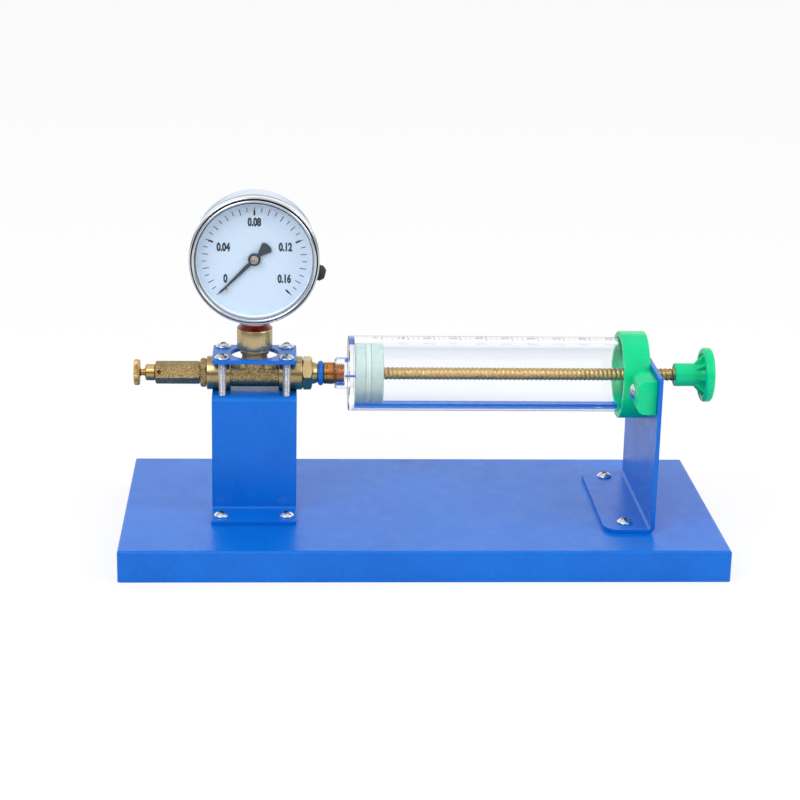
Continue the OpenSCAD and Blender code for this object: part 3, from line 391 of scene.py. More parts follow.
def polished(name, colour, dark, rough):
    """Bright plated metal with no marks but a faint cloudiness."""
    look = Look(name)
    cloud = look.ranged(look.noise(18, 3), CLOUDS)
    look.set(Base_Color=look.mixed(cloud, colour, dark), Metallic=1.0)
    return look.set(Roughness=look.ranged(cloud, (0, 1), (rough, rough * 1.3))).material


def cast_brass(name):
    """Sand-cast brass: grainy, dull in the hollows and brighter on its grains."""
    look = Look(name)
    grain = look.noise(0.7, 4, 0.65)
    lumps = look.noise(2.4, 3)
    base = look.tinted(linear(108, 86, 52), linear(232, 204, 146), grain, (0.38, 0.6))
    base = look.tinted(base, linear(176, 148, 98), lumps, (0.4, 0.7), 0.35)
    normal = look.bump(lumps, 0.2, look.bump(grain, 0.14))
    return metal(look, base, look.ranged(grain, WIDE, (0.46, 0.28)), normal)


def speckled_brass(name):
    """Rolled brass bar with the dark specks of its milled flats."""
    look = Look(name)
    specks = look.noise(0.38, 3, 0.7, look.stretched(0.6, 1, 1))
    specks = look.ranged(specks, (0.46, 0.6))
    base = look.tinted(linear(206, 180, 128), linear(184, 156, 108), look.noise(5, 3), CLOUDS)
    base = look.mixed(look.maths("MULTIPLY", specks, 0.8), base, linear(92, 72, 42))
    normal = look.bump(specks, 0.05, look.soft_edges(0.25))
    return metal(look, base, look.ranged(specks, (0, 1), (0.24, 0.5)), normal)


def sparkling_brass(name):
    """Rolled screw brass: pale crests with small bright and dark grains."""
    look = Look(name)
    grains = look.noise(0.5, 3, 0.7)
    base = look.tinted(linear(128, 94, 46), linear(230, 198, 134), grains, (0.38, 0.62))
    base = look.tinted(base, linear(206, 168, 104), look.noise(4, 3), CLOUDS, 0.4)
    return metal(look, base, look.ranged(grains, WIDE, (0.45, 0.26)), look.bump(grains, 0.12))


def moulded(name, colour, dark, rough=0.26, edge=0.35, coat=0.0, translucent=0.0):
    """Moulded plastic: slight flow marks, a faint skin texture and softened edges."""
    look = Look(name)
    base = look.tinted(colour, dark, look.noise(14, 2), CLOUDS, 0.5)
    normal = look.bump(look.noise(0.8, 2), 0.012, look.soft_edges(edge))
    roughness = look.ranged(look.noise(4, 3), WIDE, (rough * 0.85, rough * 1.2))
    look.set(Base_Color=base, Roughness=roughness, Normal=normal)
    look.set(Coat_Weight=coat, Specular_IOR_Level=0.28)
    if translucent:
        look.set(Subsurface_Weight=translucent, Subsurface_Scale=1.0)
        look.set(Subsurface_Radius=(3 * MM, 3 * MM, 3 * MM))
    return look.material


def clear(name, colour, rough, ior=1.49, waves=0.0):
    """Clear acrylic or glass. Waves are the faint unevenness of a cast tube, in millimetres."""
    look = Look(name)
    roughness = look.ranged(look.noise(12, 3), WIDE, (rough * 0.6, rough * 1.4))
    look.set(Base_Color=colour, Roughness=roughness, IOR=ior, Transmission_Weight=1.0)
    if waves:
        look.set(Normal=look.bump(look.noise(7, 1, vector=look.stretched(0.3, 1, 1)), waves))
    return look.material


def rubber(name, colour):
    """Moulded rubber with a fine dull grain."""
    look = Look(name)
    base = look.tinted(colour, scaled(colour, 2.2), look.noise(2, 3), (0.4, 0.7), 0.5)
    normal = look.bump(look.noise(0.35, 3), 0.02, look.soft_edges(0.3))
    return look.set(Base_Color=base, Roughness=0.6, Normal=normal).material


def painted(name, colour, rough, shade=0.93):
    """A flat painted or printed surface with a hardly visible mottle down to a darker shade."""
    look = Look(name)
    base = look.tinted(colour, scaled(colour, shade), look.noise(3, 4), CLOUDS)
    roughness = look.ranged(look.noise(1.2, 2), WIDE, (rough * 0.9, rough * 1.1))
    return look.set(Base_Color=base, Roughness=roughness).material


# ---------- the apparatus's own materials ----------

MATERIALS = {
    "blue": powder_coat(
        "blue_powder_coat", linear(0, 109, 212), linear(0, 101, 203), linear(0, 135, 226)
    ),
    "zinc": turned_metal(
        "zinc_plate", linear(238, 241, 245), linear(208, 212, 218), 0.16, 0.1, 0.002, blotch=4
    ),
    # A dark zinc for the screws' recesses and the rivet's hollows: painted shade
    "recess": turned_metal("zinc_painted_recess_shade", linear(112, 116, 122), linear(84, 88, 94), 0.34),
    "tee_cast": cast_brass("cast_brass"),
    "tee_turned": turned_metal(
        "tee_turned_brass", linear(208, 188, 142), linear(178, 154, 106), 0.24, streak=(0.3, 5, 5)
    ),
    "cup": turned_metal(
        "cup_brass", linear(230, 210, 164), linear(212, 188, 138), 0.27, grain=0.0006, blotch=16
    ),
    "bar_brass": speckled_brass("milled_brass"),
    "bright_brass": turned_metal(
        "bright_brass", linear(230, 200, 138), linear(194, 160, 100), 0.2
    ),
    "thread_brass": sparkling_brass("thread_brass"),
    "knurl_brass": turned_metal(
        "knurl_brass", linear(224, 192, 132), linear(188, 148, 90), 0.26, edge=0.1, blotch=3
    ),
    "bronze": turned_metal("spring_bronze", linear(190, 146, 88), linear(150, 112, 64), 0.3),
    "copper": turned_metal(
        "copper", linear(220, 150, 88), linear(176, 110, 58), 0.24, streak=(0.3, 5, 5), blotch=5
    ),
    "acrylic": clear("clear_acrylic", (0.97, 0.985, 1.0, 1), 0.012, waves=0.004),
    "window": clear("window_glass", (0.985, 0.99, 1.0, 1), 0.004, ior=1.2),
    "piston": moulded(
        "piston_plastic", linear(176, 196, 192), linear(168, 190, 187), 0.4, translucent=0.2
    ),
    "seal": moulded(
        "seal_silicone", linear(186, 203, 199), linear(178, 197, 193), 0.5, translucent=0.2
    ),
    "retainer": moulded("retainer_plastic", linear(196, 208, 206), linear(186, 200, 198), 0.4),
    "green": moulded(
        "green_plastic", linear(0, 212, 143), linear(0, 200, 131), 0.24, edge=0.12
    ),
    "blue_ring": moulded("blue_nylon", linear(24, 112, 206), linear(10, 92, 186), 0.3),
    "red": moulded(
        "red_fibre", linear(128, 14, 6), linear(92, 5, 2), 0.14, edge=0.15, coat=0.6
    ),
    "black": rubber("black_rubber", (0.022, 0.023, 0.026, 1)),
    "case": polished("case_steel", linear(210, 223, 236), linear(192, 208, 229), 0.24),
    "chrome": polished("chrome", linear(236, 240, 245), linear(222, 228, 236), 0.05),
    # A dark metal for the bezel's groove: painted dark reflection and shade
    "groove": polished("bezel_groove_painted_reflection", linear(52, 56, 64), linear(38, 42, 50), 0.3),
    "dial": painted("dial_paint", linear(180, 198, 216), 0.35, 0.985),
    # White paint of the dial's ring, also put on the bezel's inner bead as a painted bright
    # reflection
    "ring": painted("white_ring_paint_and_painted_sheen", linear(226, 233, 241), 0.35, 0.985),
    "print": painted("dial_print", linear(24, 34, 46), 0.4),
    "tube_print": painted("tube_print", linear(104, 120, 130), 0.5),
    "pointer": painted("pointer_paint", linear(30, 40, 52), 0.35),
    "cap": turned_metal(
        "cap_metal", linear(198, 192, 184), linear(140, 132, 124), 0.26, edge=0.1, blotch=2
    ),
    "link": turned_metal("link_steel", linear(190, 194, 200), linear(150, 154, 160), 0.35),
}

NODE_LOOKS = {
    "blue": ["base_pan", "gauge_bracket", "clamp_plate", "barrel_bracket"],
    "zinc": ["foot_screws", "foot_nuts", "clamp_screws", "collar_screws", "case_screws",
             "movement_screws"],
    "tee_turned": ["tee_fitting", "outlet_connector", "gauge_stem"],
    "bar_brass": ["valve_body", "valve_lock_nut"],
    "bright_brass": ["valve_gland", "valve_spindle", "feed_nut", "movement_frame", "sector_gear",
                     "pinion", "tube_tip"],
    "thread_brass": ["screw_rod"],
    "bronze": ["bourdon_tube", "hairspring"],
    "copper": ["copper_sleeve"],
    "acrylic": ["barrel_tube", "barrel_end"],
    "piston": ["piston"],
    "retainer": ["piston_retainer"],
    "seal": ["piston_seal"],
    "green": ["end_collar", "knob"],
    "blue_ring": ["sealing_ring"],
    "red": ["gauge_washer"],
    "black": ["relief_plug", "valve_seat"],
    "case": ["gauge_case"],
    "chrome": ["gauge_bezel"],
    "window": ["gauge_window"],
    "dial": ["gauge_dial"],
    "ring": ["dial_ring"],
    "pointer": ["pointer"],
    "cap": ["pointer_cap", "zero_pin"],
    "link": ["link"],
}


def dress(obj, *looks):
    """Gives an object its looks, in the order of its faces' look numbers."""
    # A clear sets the faces' numbers back to 0, so a new mesh goes without it
    if obj.data.materials:
        obj.data.materials.clear()
    for look in looks:
        obj.data.materials.append(MATERIALS[look])
    return obj


for look_name, members in NODE_LOOKS.items():
    for member in members:
        dress(nodes[member], look_name)

for clear_node in ("barrel_tube", "barrel_end", "gauge_window"):
    nodes[clear_node].visible_shadow = False


def piece(name, bm, looks, body="stand", replaces=(), angle=SHARP_ANGLE):
    """A finished piece: its mesh, its looks and the body that it rides on."""
    obj = dress(mesh_object(name, bm, angle), *looks)
    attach(obj, body)
    if replaces:
        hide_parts(*replaces)


# ---------- screws ----------

# Diameter, the head's diameter and height, and the pitch
M4 = (4 * MM, 7.8 * MM, 2.4 * MM, 0.7 * MM)
M3 = (3 * MM, 5.6 * MM, 1.8 * MM, 0.5 * MM)
# How far the heads of a set are turned, in degrees: the first one, and each after the last
FIRST_SPIN = 25
NEXT_SPIN = 37
# The recess's width at its foot, as a share of that at the head's top
RECESS_FOOT = 0.62
# How far below the head's surface a face counts as one of the recess, which is painted dark as
# shade
RECESS_START = 0.15 * MM


def thread(major, minor, pitch, length, segments, steps, taper, sharp):
    """A right-handed thread along +Z, closed at both ends.

    It has so many steps to a turn, and tapers to its root at the ends. A sharp of 1 is a
    plain wave, and less gives flatter crests and roots.
    """
    count = max(2, round(length / pitch * steps))
    rings = []
    for i in range(count + 1):
        z = length * i / count
        near_end = min(z, length - z)
        ring = []
        for j in range(segments):
            a = 2 * math.pi * j / segments
            wave = math.cos(2 * math.pi * z / pitch - a)
            lift = 0.5 + 0.5 * math.copysign(abs(wave) ** sharp, wave)
            r = minor + (major - minor) * lift
            if near_end < taper:
                r = min(r, minor + (major - minor) * near_end / taper)
            ring.append(Vector((r * math.cos(a), r * math.sin(a), z)))
        rings.append(ring)
    return skin(rings)


def pan_head(radius, height):
    """A pan head on z = 0 with a cross recess, whose faces take the second look: a dark zinc that
    paints the recess's shade.
    """
    # An upright rim with a small corner, and a dome above it that is part of a ball
    corner = 0.35 * MM
    rim = height * 0.36
    dome = height - rim
    ball = (radius * radius * 0.86 + dome * dome) / (2 * dome)
    half = math.degrees(math.asin(min(1, radius * 0.9 / ball)))
    profile = [(radius * 0.96, 0)] + arc(radius - corner, rim * 0.55, corner, -30, 60, 4)
    profile += arc(0, height - ball, ball, 90 - half, 90, 8)
    # Two crossed bars, narrower at the foot, cut the recess
    arm, half_width, depth = radius * 0.62, radius * 0.16, height * 0.62
    bar = box_bmesh((-arm, -half_width, height - depth), (arm, half_width, height + depth))
    across = copied(bar, Matrix.Rotation(math.pi / 2, 4, "Z"))
    cross = boolean(bar, across, "UNION")
    for v in cross.verts:
        if v.co.z < height:
            v.co.x *= RECESS_FOOT
            v.co.y *= RECESS_FOOT
    head = boolean(lathe(profile, 40), cross, "DIFFERENCE")
    # Faces down in the recess take the dark zinc, a painted shade
    for face in head.faces:
        middle = face.calc_center_median()
        out = math.hypot(middle.x, middle.y)
        surface = height - ball + math.sqrt(max(0, ball * ball - out * out))
        if out < arm and middle.z < surface - RECESS_START:
            face.material_index = 1
    return head


def pan_screw(radius, length, head_radius, head_height, pitch):
    """A pan-head screw that points down, its head seated on z = 0."""
    shank = thread(radius, radius * 0.84, pitch, length, 24, 8, taper=0.4 * MM, sharp=0.8)
    moved(shank, Matrix.Translation((0, 0, -length)))
    return joined([pan_head(head_radius, head_height), shank])


def islands(node):
    """The box of each separate solid in a node, as two corners, in the order of the low ones."""
    bm = bmesh.new()
    bm.from_mesh(nodes[node].data)
    bmesh.ops.remove_doubles(bm, verts=bm.verts, dist=1e-6)
    left = set(bm.verts)
    boxes = []
    while left:
        stack = [left.pop()]
        found = []
        while stack:
            v = stack.pop()
            found.append(v.co.copy())
            for edge in v.link_edges:
                other = edge.other_vert(v)
                if other in left:
                    left.remove(other)
                    stack.append(other)
        low = Vector([min(c[i] for c in found) for i in range(3)])
        high = Vector([max(c[i] for c in found) for i in range(3)])
        boxes.append((low, high))
    bm.free()
    return sorted(boxes, key=lambda box: [round(c / MM, 1) for c in box[0]])


def screw_set(name, node, axis, side, kind):
    """All screws of a node, with their heads at the high (1) or low (-1) end of an axis."""
    diameter, head_diameter, head_height, pitch = kind
    boxes = islands(node)
    length = boxes[0][1][axis] - boxes[0][0][axis] - head_height
    screw = pan_screw(diameter / 2, length, head_diameter / 2, head_height, pitch)
    aim = Vector([side if i == axis else 0 for i in range(3)])
    turn = Vector((0, 0, 1)).rotation_difference(aim).to_matrix().to_4x4()
    parts = []
    for i, (low, high) in enumerate(boxes):
        seat = (low + high) / 2
        seat[axis] = (high if side > 0 else low)[axis] - side * head_height
        spin = Matrix.Rotation(math.radians(FIRST_SPIN + NEXT_SPIN * i), 4, "Z")
        parts.append(copied(screw, Matrix.Translation(seat) @ turn @ spin))
    screw.free()
    # The recesses of the heads are painted dark as shade
    piece(name, joined(parts), ["zinc", "recess"], replaces=[node])


screw_set("foot_screw_set", "foot_screws", 2, 1, M4)
screw_set("clamp_screw_set", "clamp_screws", 2, 1, M4)
screw_set("collar_screw_set", "collar_screws", 0, -1, M4)
screw_set("case_screw_set", "case_screws", 1, 1, M3)


# ---------- the long screw, the collar and the knob ----------

LEAD = 2.25 * MM
ROD_R = 3.2 * MM
THREAD_DEPTH = 0.34 * MM
THRUST_L = 2.9 * MM
# The collar and the knob, in millimetres. The feed nut's pocket is open at the collar's end.
TUBE_GAP = 0.06
POCKET_R, POCKET_L = 6.5, 5.2
SCREW_HOLE_R = 3.7
LUG_HALF = 8.6
LUG_REACH = 9.6
LUG_CORNER = 4
KNOB_RIM_R = 1.6
KNOB_DISH = 5
KNOB_RIBS = 8
RIB_HALF = 0.65


def long_screw():
    """The long brass screw, with the thrust collar that turns in the piston."""
    low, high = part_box("screw_rod")
    r = size("screw_rod").z / 2
    chamfer = 0.3 * MM
    thrust = lathe([(r - chamfer, 0), (r, chamfer), (r, THRUST_L - chamfer),
                    (r - chamfer, THRUST_L)], 48)
    length = high.x - low.x - THRUST_L
    rod = thread(ROD_R, ROD_R - THREAD_DEPTH, LEAD, length, 36, 12, taper=0.8 * MM, sharp=0.5)
    moved(rod, Matrix.Translation((0, 0, THRUST_L)))
    whole = moved(joined([thrust, rod]), along_x(low.x))
    piece("long_screw", whole, ["thread_brass"], "screw", ["screw_rod"], angle=50)


def lug_outline(half_height, left, right, radius):
    """The lugs' outline in X and Z, round at its two left corners."""
    points = arc(left + radius, half_height - radius, radius, 180, 90)
    points += [(right, half_height), (right, -half_height)]
    return points + arc(left + radius, radius - half_height, radius, 270, 180)


def collar():
    """The green ring that holds the barrel's end, with its two lugs."""
    low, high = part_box("end_collar")
    length = length_mm("end_collar")
    r = radius_mm("end_collar")
    seat = TUBE_R / MM + TUBE_GAP
    floor_at = (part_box("barrel_tube")[1].x - low.x) / MM
    profile = [(seat, floor_at), (seat, 0.4), (seat + 0.4, 0)]
    profile += arc(r - 0.7, 0.7, 0.7, 270, 360, 5) + arc(r - 0.4, length - 0.4, 0.4, 0, 90, 3)
    profile += [(POCKET_R, length), (POCKET_R, length - POCKET_L)]
    profile += [(SCREW_HOLE_R, length - POCKET_L), (SCREW_HOLE_R, floor_at)]
    ring = moved(turned(profile, 128), along_x(low.x))
    half = size("end_collar").y / 2 / MM
    outline = lug_outline(LUG_HALF, -LUG_REACH, 0, LUG_CORNER)
    lugs = bevelled(extruded(outline, -half, half), 0.45 * MM)
    moved(lugs, Matrix.Translation((high.x, 0, AXIS_Z)))
    piece("green_collar", joined([ring, lugs]), ["green"],
          replaces=["end_collar"])


def hand_knob():
    """The green knob: a hub that flares into a dish with a round rim, and ribs in the dish."""
    top = length_mm("knob")
    rim, back = KNOB_RIM_R, top - KNOB_DISH
    mid = radius_mm("knob") - rim
    profile = [(5.2, 0.12), (5.6, 0), (5.9, 0.35), (5.9, 10.6), (6.0, 12.6), (6.35, 14.2)]
    profile += [(7.0, 15.5), (8.1, 16.4), (9.6, 16.75), (mid - rim - 0.3, 16.6)]
    profile += [(mid - rim, 16.2)] + arc(mid, back + rim, rim, 180, 360, 10)
    profile += arc(mid, top - rim, rim, 0, 90)
    profile += [(mid - 0.9, top - 0.1), (mid - 1.8, top - 0.4), (0, top - 0.45)]
    parts = [turned(profile, closed=False)]
    # A rib's outline, each point its place along the knob and its distance from the middle
    foot, dish_floor, hub, rib_end = 9.8, 17.2, 5.5, mid - rim + 0.2
    rib = [(foot, hub), (back + 0.9, rib_end), (dish_floor, rib_end), (dish_floor, hub)]
    plate = bevelled(extruded(rib, -RIB_HALF, RIB_HALF), 0.3 * MM)
    moved(plate, X_FROM_Z.inverted())
    for i in range(KNOB_RIBS):
        parts.append(copied(plate, Matrix.Rotation(math.radians(360 / KNOB_RIBS * i), 4, "Z")))
    plate.free()
    whole = moved(joined(parts), along_x(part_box("knob")[0].x))
    piece("hand_knob", whole, ["green"], "screw", ["knob"])


long_screw()
collar()
hand_knob()


# ---------- the tee, the bleed valve's spindle and the sleeve ----------

KNURLS = 48
KNURL_DEPTH = 0.28 * MM
CAST_VOXEL = 0.5 * MM
CAST_ROUNDS = 5
CAST_LUMPS = 0.05 * MM


def lumpy(p):
    """An uneven wave, -1 to 1, over a place in millimetres."""
    along = math.sin(p.x * 2.1 + 1.3 * math.sin(p.z * 1.7))
    return along * math.sin(p.y * 2.4 + p.x * 0.6) * math.sin(p.z * 2.2 + 0.8)


def as_cast(bm):
    """One skin over overlapping parts, its creases smoothed into fillets and its face lumpy."""
    obj = mesh_object("skin", bm)
    tool = obj.modifiers.new("remesh", "REMESH")
    tool.mode = "VOXEL"
    tool.voxel_size = CAST_VOXEL
    ease = obj.modifiers.new("smooth", "SMOOTH")
    ease.iterations = CAST_ROUNDS
    cast = settled(obj)
    cast.normal_update()
    shifts = [v.normal * lumpy(v.co / MM) * CAST_LUMPS for v in cast.verts]
    for v, shift in zip(cast.verts, shifts):
        v.co += shift
    return cast


def tee():
    """The brass tee: turned sockets and cup, and between them the cast body and neck."""
    bore = 4.92
    outline = [(bore, -24), (8.0, -24)] + arc(8.0, -23.5, 0.5, 270, 360, 4)
    outline += arc(7.9, -12.6, 0.6, 0, 80, 4) + [(6.2, -11.9), (bore, -11.9)]
    sockets = []
    for side in (1, -1):
        ring = turned([(r, side * x) for r, x in outline], 80)
        sockets.append(indexed(moved(ring, X_FROM_Z), 0))
    body = moved(turned([(6.95, -12.6), (6.95, 12.6)], 48, closed=False), X_FROM_Z)
    neck = turned([(6.35, 0), (6.35, 11.4)], 48, closed=False)
    shoulder = turned([(6.9, 0), (6.6, 8.2)], 48, closed=False)
    cast = indexed(as_cast(joined([body, neck, shoulder])), 1)
    cup = [(2.5, 10.4), (6.9, 10.4), (7.15, 10.7), (7.15, 12.3), (6.95, 12.5), (6.95, 12.8)]
    cup += [(7.7, 12.85), (8.6, 13.35), (8.9, 13.9), (8.9, 23.1), (8.72, 23.5), (8.4, 23.7)]
    cup += [(6.4, 23.7), (6.35, 23.4), (6.35, 15.2), (2.5, 15.2)]
    whole = joined(sockets + [cast, indexed(turned(cup), 2)])
    moved(whole, Matrix.Translation((GAUGE.x, 0, AXIS_Z)))
    piece("brass_tee", whole, ["tee_turned", "tee_cast", "cup"],
          replaces=["tee_fitting"])


def knurled(bm, count, depth, low, high, radius):
    """Presses straight teeth into what lies beyond the radius, between two heights."""
    for v in bm.verts:
        r = math.hypot(v.co.x, v.co.y)
        if low <= v.co.z <= high and r > radius:
            tooth = 0.5 - 0.5 * math.cos(count * math.atan2(v.co.y, v.co.x))
            v.co.x *= 1 - depth * tooth / r
            v.co.y *= 1 - depth * tooth / r
    return bm


def bleed_spindle():
    """The bleed valve's spindle with its knurled knob."""
    r = radius_mm("valve_spindle")
    profile = [(r - 1.5, 0.25), (r - 1.2, 0), (r - 0.45, 0), (r, 0.45), (r, 1.0), (r, 1.6)]
    profile += [(r, 2.35), (r - 0.45, 2.8), (2.9, 2.8), (2.3, 3.05), (1.7, 3.6), (1.6, 4.2)]
    profile += [(1.7, 4.8), (2.0, 5.3), (2.0, length_mm("valve_spindle"))]
    blank = turned(profile, 6 * KNURLS, closed=False)
    knob = knurled(blank, KNURLS, KNURL_DEPTH, 0.3 * MM, 2.5 * MM, (r - 0.3) * MM)
    whole = moved(knob, along_x(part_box("valve_spindle")[0].x))
    piece("bleed_spindle", whole, ["knurl_brass"], "spindle", ["valve_spindle"])


def sleeve():
    """The copper sleeve and the thread that holds it in the barrel's nipple."""
    low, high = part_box("copper_sleeve")
    r = radius_mm("copper_sleeve")
    start = (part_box("barrel_end")[0].x - low.x) / MM
    body = [(3.05, 0), (r - 0.5, 0), (r, 0.4), (r, 1.5), (r - 0.22, 1.6), (r - 0.22, 1.85)]
    body += [(r, 1.95), (r, start - 0.6), (r - 0.3, start), (3.05, start)]
    length = high.x - low.x - start * MM
    nose = thread(5.0 * MM, 4.45 * MM, 1.0 * MM, length, 40, 8, taper=0.5 * MM, sharp=0.8)
    moved(nose, Matrix.Translation((0, 0, start * MM)))
    whole = moved(joined([turned(body, 72), nose]), along_x(low.x))
    piece("copper_bush", whole, ["copper"], replaces=["copper_sleeve"])


tee()
bleed_spindle()
sleeve()


# ---------- the gauge's bezel and pointer cap ----------


def bezel():
    """The rolled ring: a bead at the back, a round shoulder, a groove and the window's bead."""
    front = -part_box("gauge_bezel")[0].y / MM
    r = radius_mm("gauge_bezel")
    profile = [(r - 1.38, front - 8.9)] + arc(r - 0.7, front - 8.35, 0.68, 215, 360)
    profile += [(r - 0.38, front - 7.5), (r - 0.4, front - 3.2)]
    profile += arc(r - 0.58, front - 1.75, 0.56, -25, 180, 10)
    profile += [(r - 1.16, front - 2.1), (r - 1.48, front - 2.1)]
    profile += arc(r - 2.05, front - 0.6, 0.57, 0, 180, 10)
    profile += [(r - 2.62, front - 0.96), (r - 1.5, front - 0.96), (r - 1.46, front - 2.2)]
    ring = turned(profile, 192)
    for face in ring.faces:
        middle = face.calc_center_median()
        out = math.hypot(middle.x, middle.y) / MM - r
        # The groove's faces are painted dark, a painted dark reflection and shade
        dark_painted_groove = abs(out + 1.32) < 0.2 and middle.z / MM < front - 1.2
        # The window bead's inner faces take the white paint, a painted bright reflection
        painted_bright_inside = out < -2.5
        face.material_index = 1 if dark_painted_groove else 2 if painted_bright_inside else 0
    piece("bezel_ring", moved(ring, IN_GAUGE), ["chrome", "groove", "ring"],
          replaces=["gauge_bezel"])


def cap():
    """The pointer's rivet, its ring groove and its hollow middle painted dark as shade."""
    near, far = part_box("pointer_cap")
    back, front = -far.y / MM, -near.y / MM
    profile = [(2.05, back), (2.05, front - 0.45), (1.95, front - 0.25), (1.6, front - 0.1)]
    profile += [(1.42, front - 0.12), (1.34, front - 0.34), (1.2, front - 0.14), (0.75, front)]
    profile += [(0.45, front - 0.04), (0.36, front - 0.4), (0, front - 0.45)]
    rivet = turned(profile, 48, closed=False)
    # The groove and the hollow middle take the dark look, a painted shade
    for face in rivet.faces:
        middle = face.calc_center_median()
        out = math.hypot(middle.x, middle.y) / MM
        if middle.z / MM > front - 0.6 and (out < 0.42 or 1.18 < out < 1.45):
            face.material_index = 1
    piece("pointer_rivet", moved(rivet, IN_GAUGE), ["cap", "recess"], "pointer",
          ["pointer_cap"])


bezel()
cap()


# ---------- the gauge's dial ----------

ZERO_ANGLE = 225
SWEEP = 270
DIVISIONS = 32
NUMBERED = 8
PRINT_T = 0.04 * MM
# In millimetres: where the marks start and end, and their widths
MARKS_OUT = 25.8
NUMBERED_IN, EVEN_IN, ODD_IN = 22.0, 22.7, 23.6
THICK_IN, THICK_OUT = 21.8, 24.3
THIN, THICK = 0.4, 0.9
DIGIT_H, DIGIT_BOLD, DIGIT_NARROWING = 4.0, 0.32, 0.68
NUMBER_PLACES = {"0": (-14.2, -10.1), "0.04": (-15.2, 5.7), "0.08": (0, 18.3),
                 "0.12": (15.2, 5.9), "0.16": (14.7, -10.1)}
# A digit's height as a share of the font's size
DIGIT_SHARE = 0.72


def stroke(inner, outer, width, angle):
    """A radial stroke of the dial, its sizes in millimetres and its angle in degrees."""
    half = width / 2
    corners = [(inner, -half), (outer, -half), (outer, half), (inner, half)]
    bm = skin([[(x * MM, y * MM, z) for x, y in corners] for z in (0, PRINT_T)])
    return moved(bm, Matrix.Rotation(math.radians(angle), 4, "Z"))


def words(text, height, stretch, bold):
    """Numbers as flat raised shapes, centred on the origin. Bold widens each line of them."""
    curve = bpy.data.curves.new("words", "FONT")
    curve.body = text
    curve.size = height / DIGIT_SHARE
    curve.align_x = "CENTER"
    curve.align_y = "CENTER"
    curve.offset = bold
    curve.extrude = PRINT_T / 2
    curve.resolution_u = 4
    place = Matrix.Translation((0, 0, PRINT_T / 2)) @ Matrix.Diagonal((stretch, 1, 1, 1))
    return moved(settled(linked("words", curve)), place)


def dial_print():
    """The dial's marks and numbers."""
    parts = []
    for i in range(DIVISIONS + 1):
        angle = ZERO_ANGLE - SWEEP * i / DIVISIONS
        if i % NUMBERED == 0:
            parts.append(stroke(NUMBERED_IN, MARKS_OUT, THIN, angle))
            parts.append(stroke(THICK_IN, THICK_OUT, THICK, angle))
        else:
            parts.append(stroke(ODD_IN if i % 2 else EVEN_IN, MARKS_OUT, THIN, angle))
    for text, (x, y) in NUMBER_PLACES.items():
        number = words(text, DIGIT_H * MM, DIGIT_NARROWING, DIGIT_BOLD * MM)
        parts.append(moved(number, Matrix.Translation((x * MM, y * MM, 0))))
    on_dial = IN_GAUGE @ Matrix.Translation((0, 0, -DIAL_FRONT))
    piece("dial_marks", moved(joined(parts), on_dial), ["print"])


dial_print()


# ---------- the scale on the barrel ----------

ZERO_MARK_X = -20.2 * MM
# The length of 10 mL in the barrel's bore
MARK_STEP = 13.2494 * MM
MARKS = 9
MINOR_MARKS = 5
# Where each kind of mark starts and ends, from the barrel's top towards the back, and its width
LONG_MARK = (3.0 * MM, 10.4 * MM, 0.35 * MM)
SHORT_MARK = (3.6 * MM, 6.6 * MM, 0.25 * MM)
# A number's height, narrowing and boldness, and its place from its mark
NUMBER = (3.6 * MM, 0.8, 0.04 * MM)
NUMBER_PLACE = (-3.4 * MM, 6.8 * MM, 0)


def on_barrel(bm, x):
    """Wraps a flat drawing, its y running towards the back, over the top of the barrel."""
    for v in bm.verts:
        a = v.co.y / TUBE_R
        r = TUBE_R + v.co.z
        v.co = Vector((x + v.co.x, r * math.sin(a), AXIS_Z + r * math.cos(a)))
    return bm


def barrel_mark(near, far, width):
    """A stroke across the barrel, in short lengths so that it can bend round it."""
    steps = 6
    half = width / 2
    rings = []
    for i in range(steps + 1):
        y = near + (far - near) * i / steps
        rings.append([(-half, y, 0), (half, y, 0), (half, y, PRINT_T), (-half, y, PRINT_T)])
    return skin(rings)


def barrel_scale():
    """The barrel's marks, every fifth one longer and numbered in millilitres."""
    parts = []
    for k in range(MARKS * MINOR_MARKS + 1):
        x = ZERO_MARK_X + MARK_STEP * k / MINOR_MARKS
        if k % MINOR_MARKS == 0:
            parts.append(on_barrel(barrel_mark(*LONG_MARK), x))
            number = words(str(k // MINOR_MARKS * 10), *NUMBER)
            moved(number, Matrix.Translation(NUMBER_PLACE))
            parts.append(on_barrel(number, x))
        else:
            parts.append(on_barrel(barrel_mark(*SHORT_MARK), x))
    piece("barrel_scale", joined(parts), ["tube_print"])


barrel_scale()


# ---------- floor, light and camera ----------

FLOOR_HALF = 4
FLOOR_TONE = (0.95, 0.95, 0.96, 1)
FLOOR_IN_GLOSS = (0.56, 0.57, 0.58, 1)
FLOOR_ROUGHNESS = 0.9
# The share of plain white in what the camera sees of the floor
FLOOR_WHITE = 0.8

# Strengths of the world by the Z or Y of a direction, each a (place, strength) stop
SOFT_BY_HEIGHT = [(-1, 0.5), (-0.1, 0.5), (0.7, 1.0), (1, 1.0)]
SOFT_BY_DEPTH = [(-1, 0.55), (0.2, 1.0), (1, 1.0)]
GLOSS_BEHIND = [(-1, 0.3), (-0.06, 0.4), (0.02, 0.55), (0.16, 1.0), (0.48, 1.0), (0.6, 0.35),
                (0.8, 0.6), (1, 0.9)]
GLOSS_AHEAD = [(-1, 0.25), (-0.1, 0.25), (0.02, 0.05), (0.16, 0.05), (0.3, 0.5), (0.6, 0.9),
               (1, 0.9)]
BEHIND_SHARE = [(-1, 0), (-0.1, 0), (0.3, 1), (1, 1)]
AHEAD_SHARE = [(-1, 1), (-0.1, 1), (0.3, 0), (1, 0)]
BEHIND_GAIN = 1.15

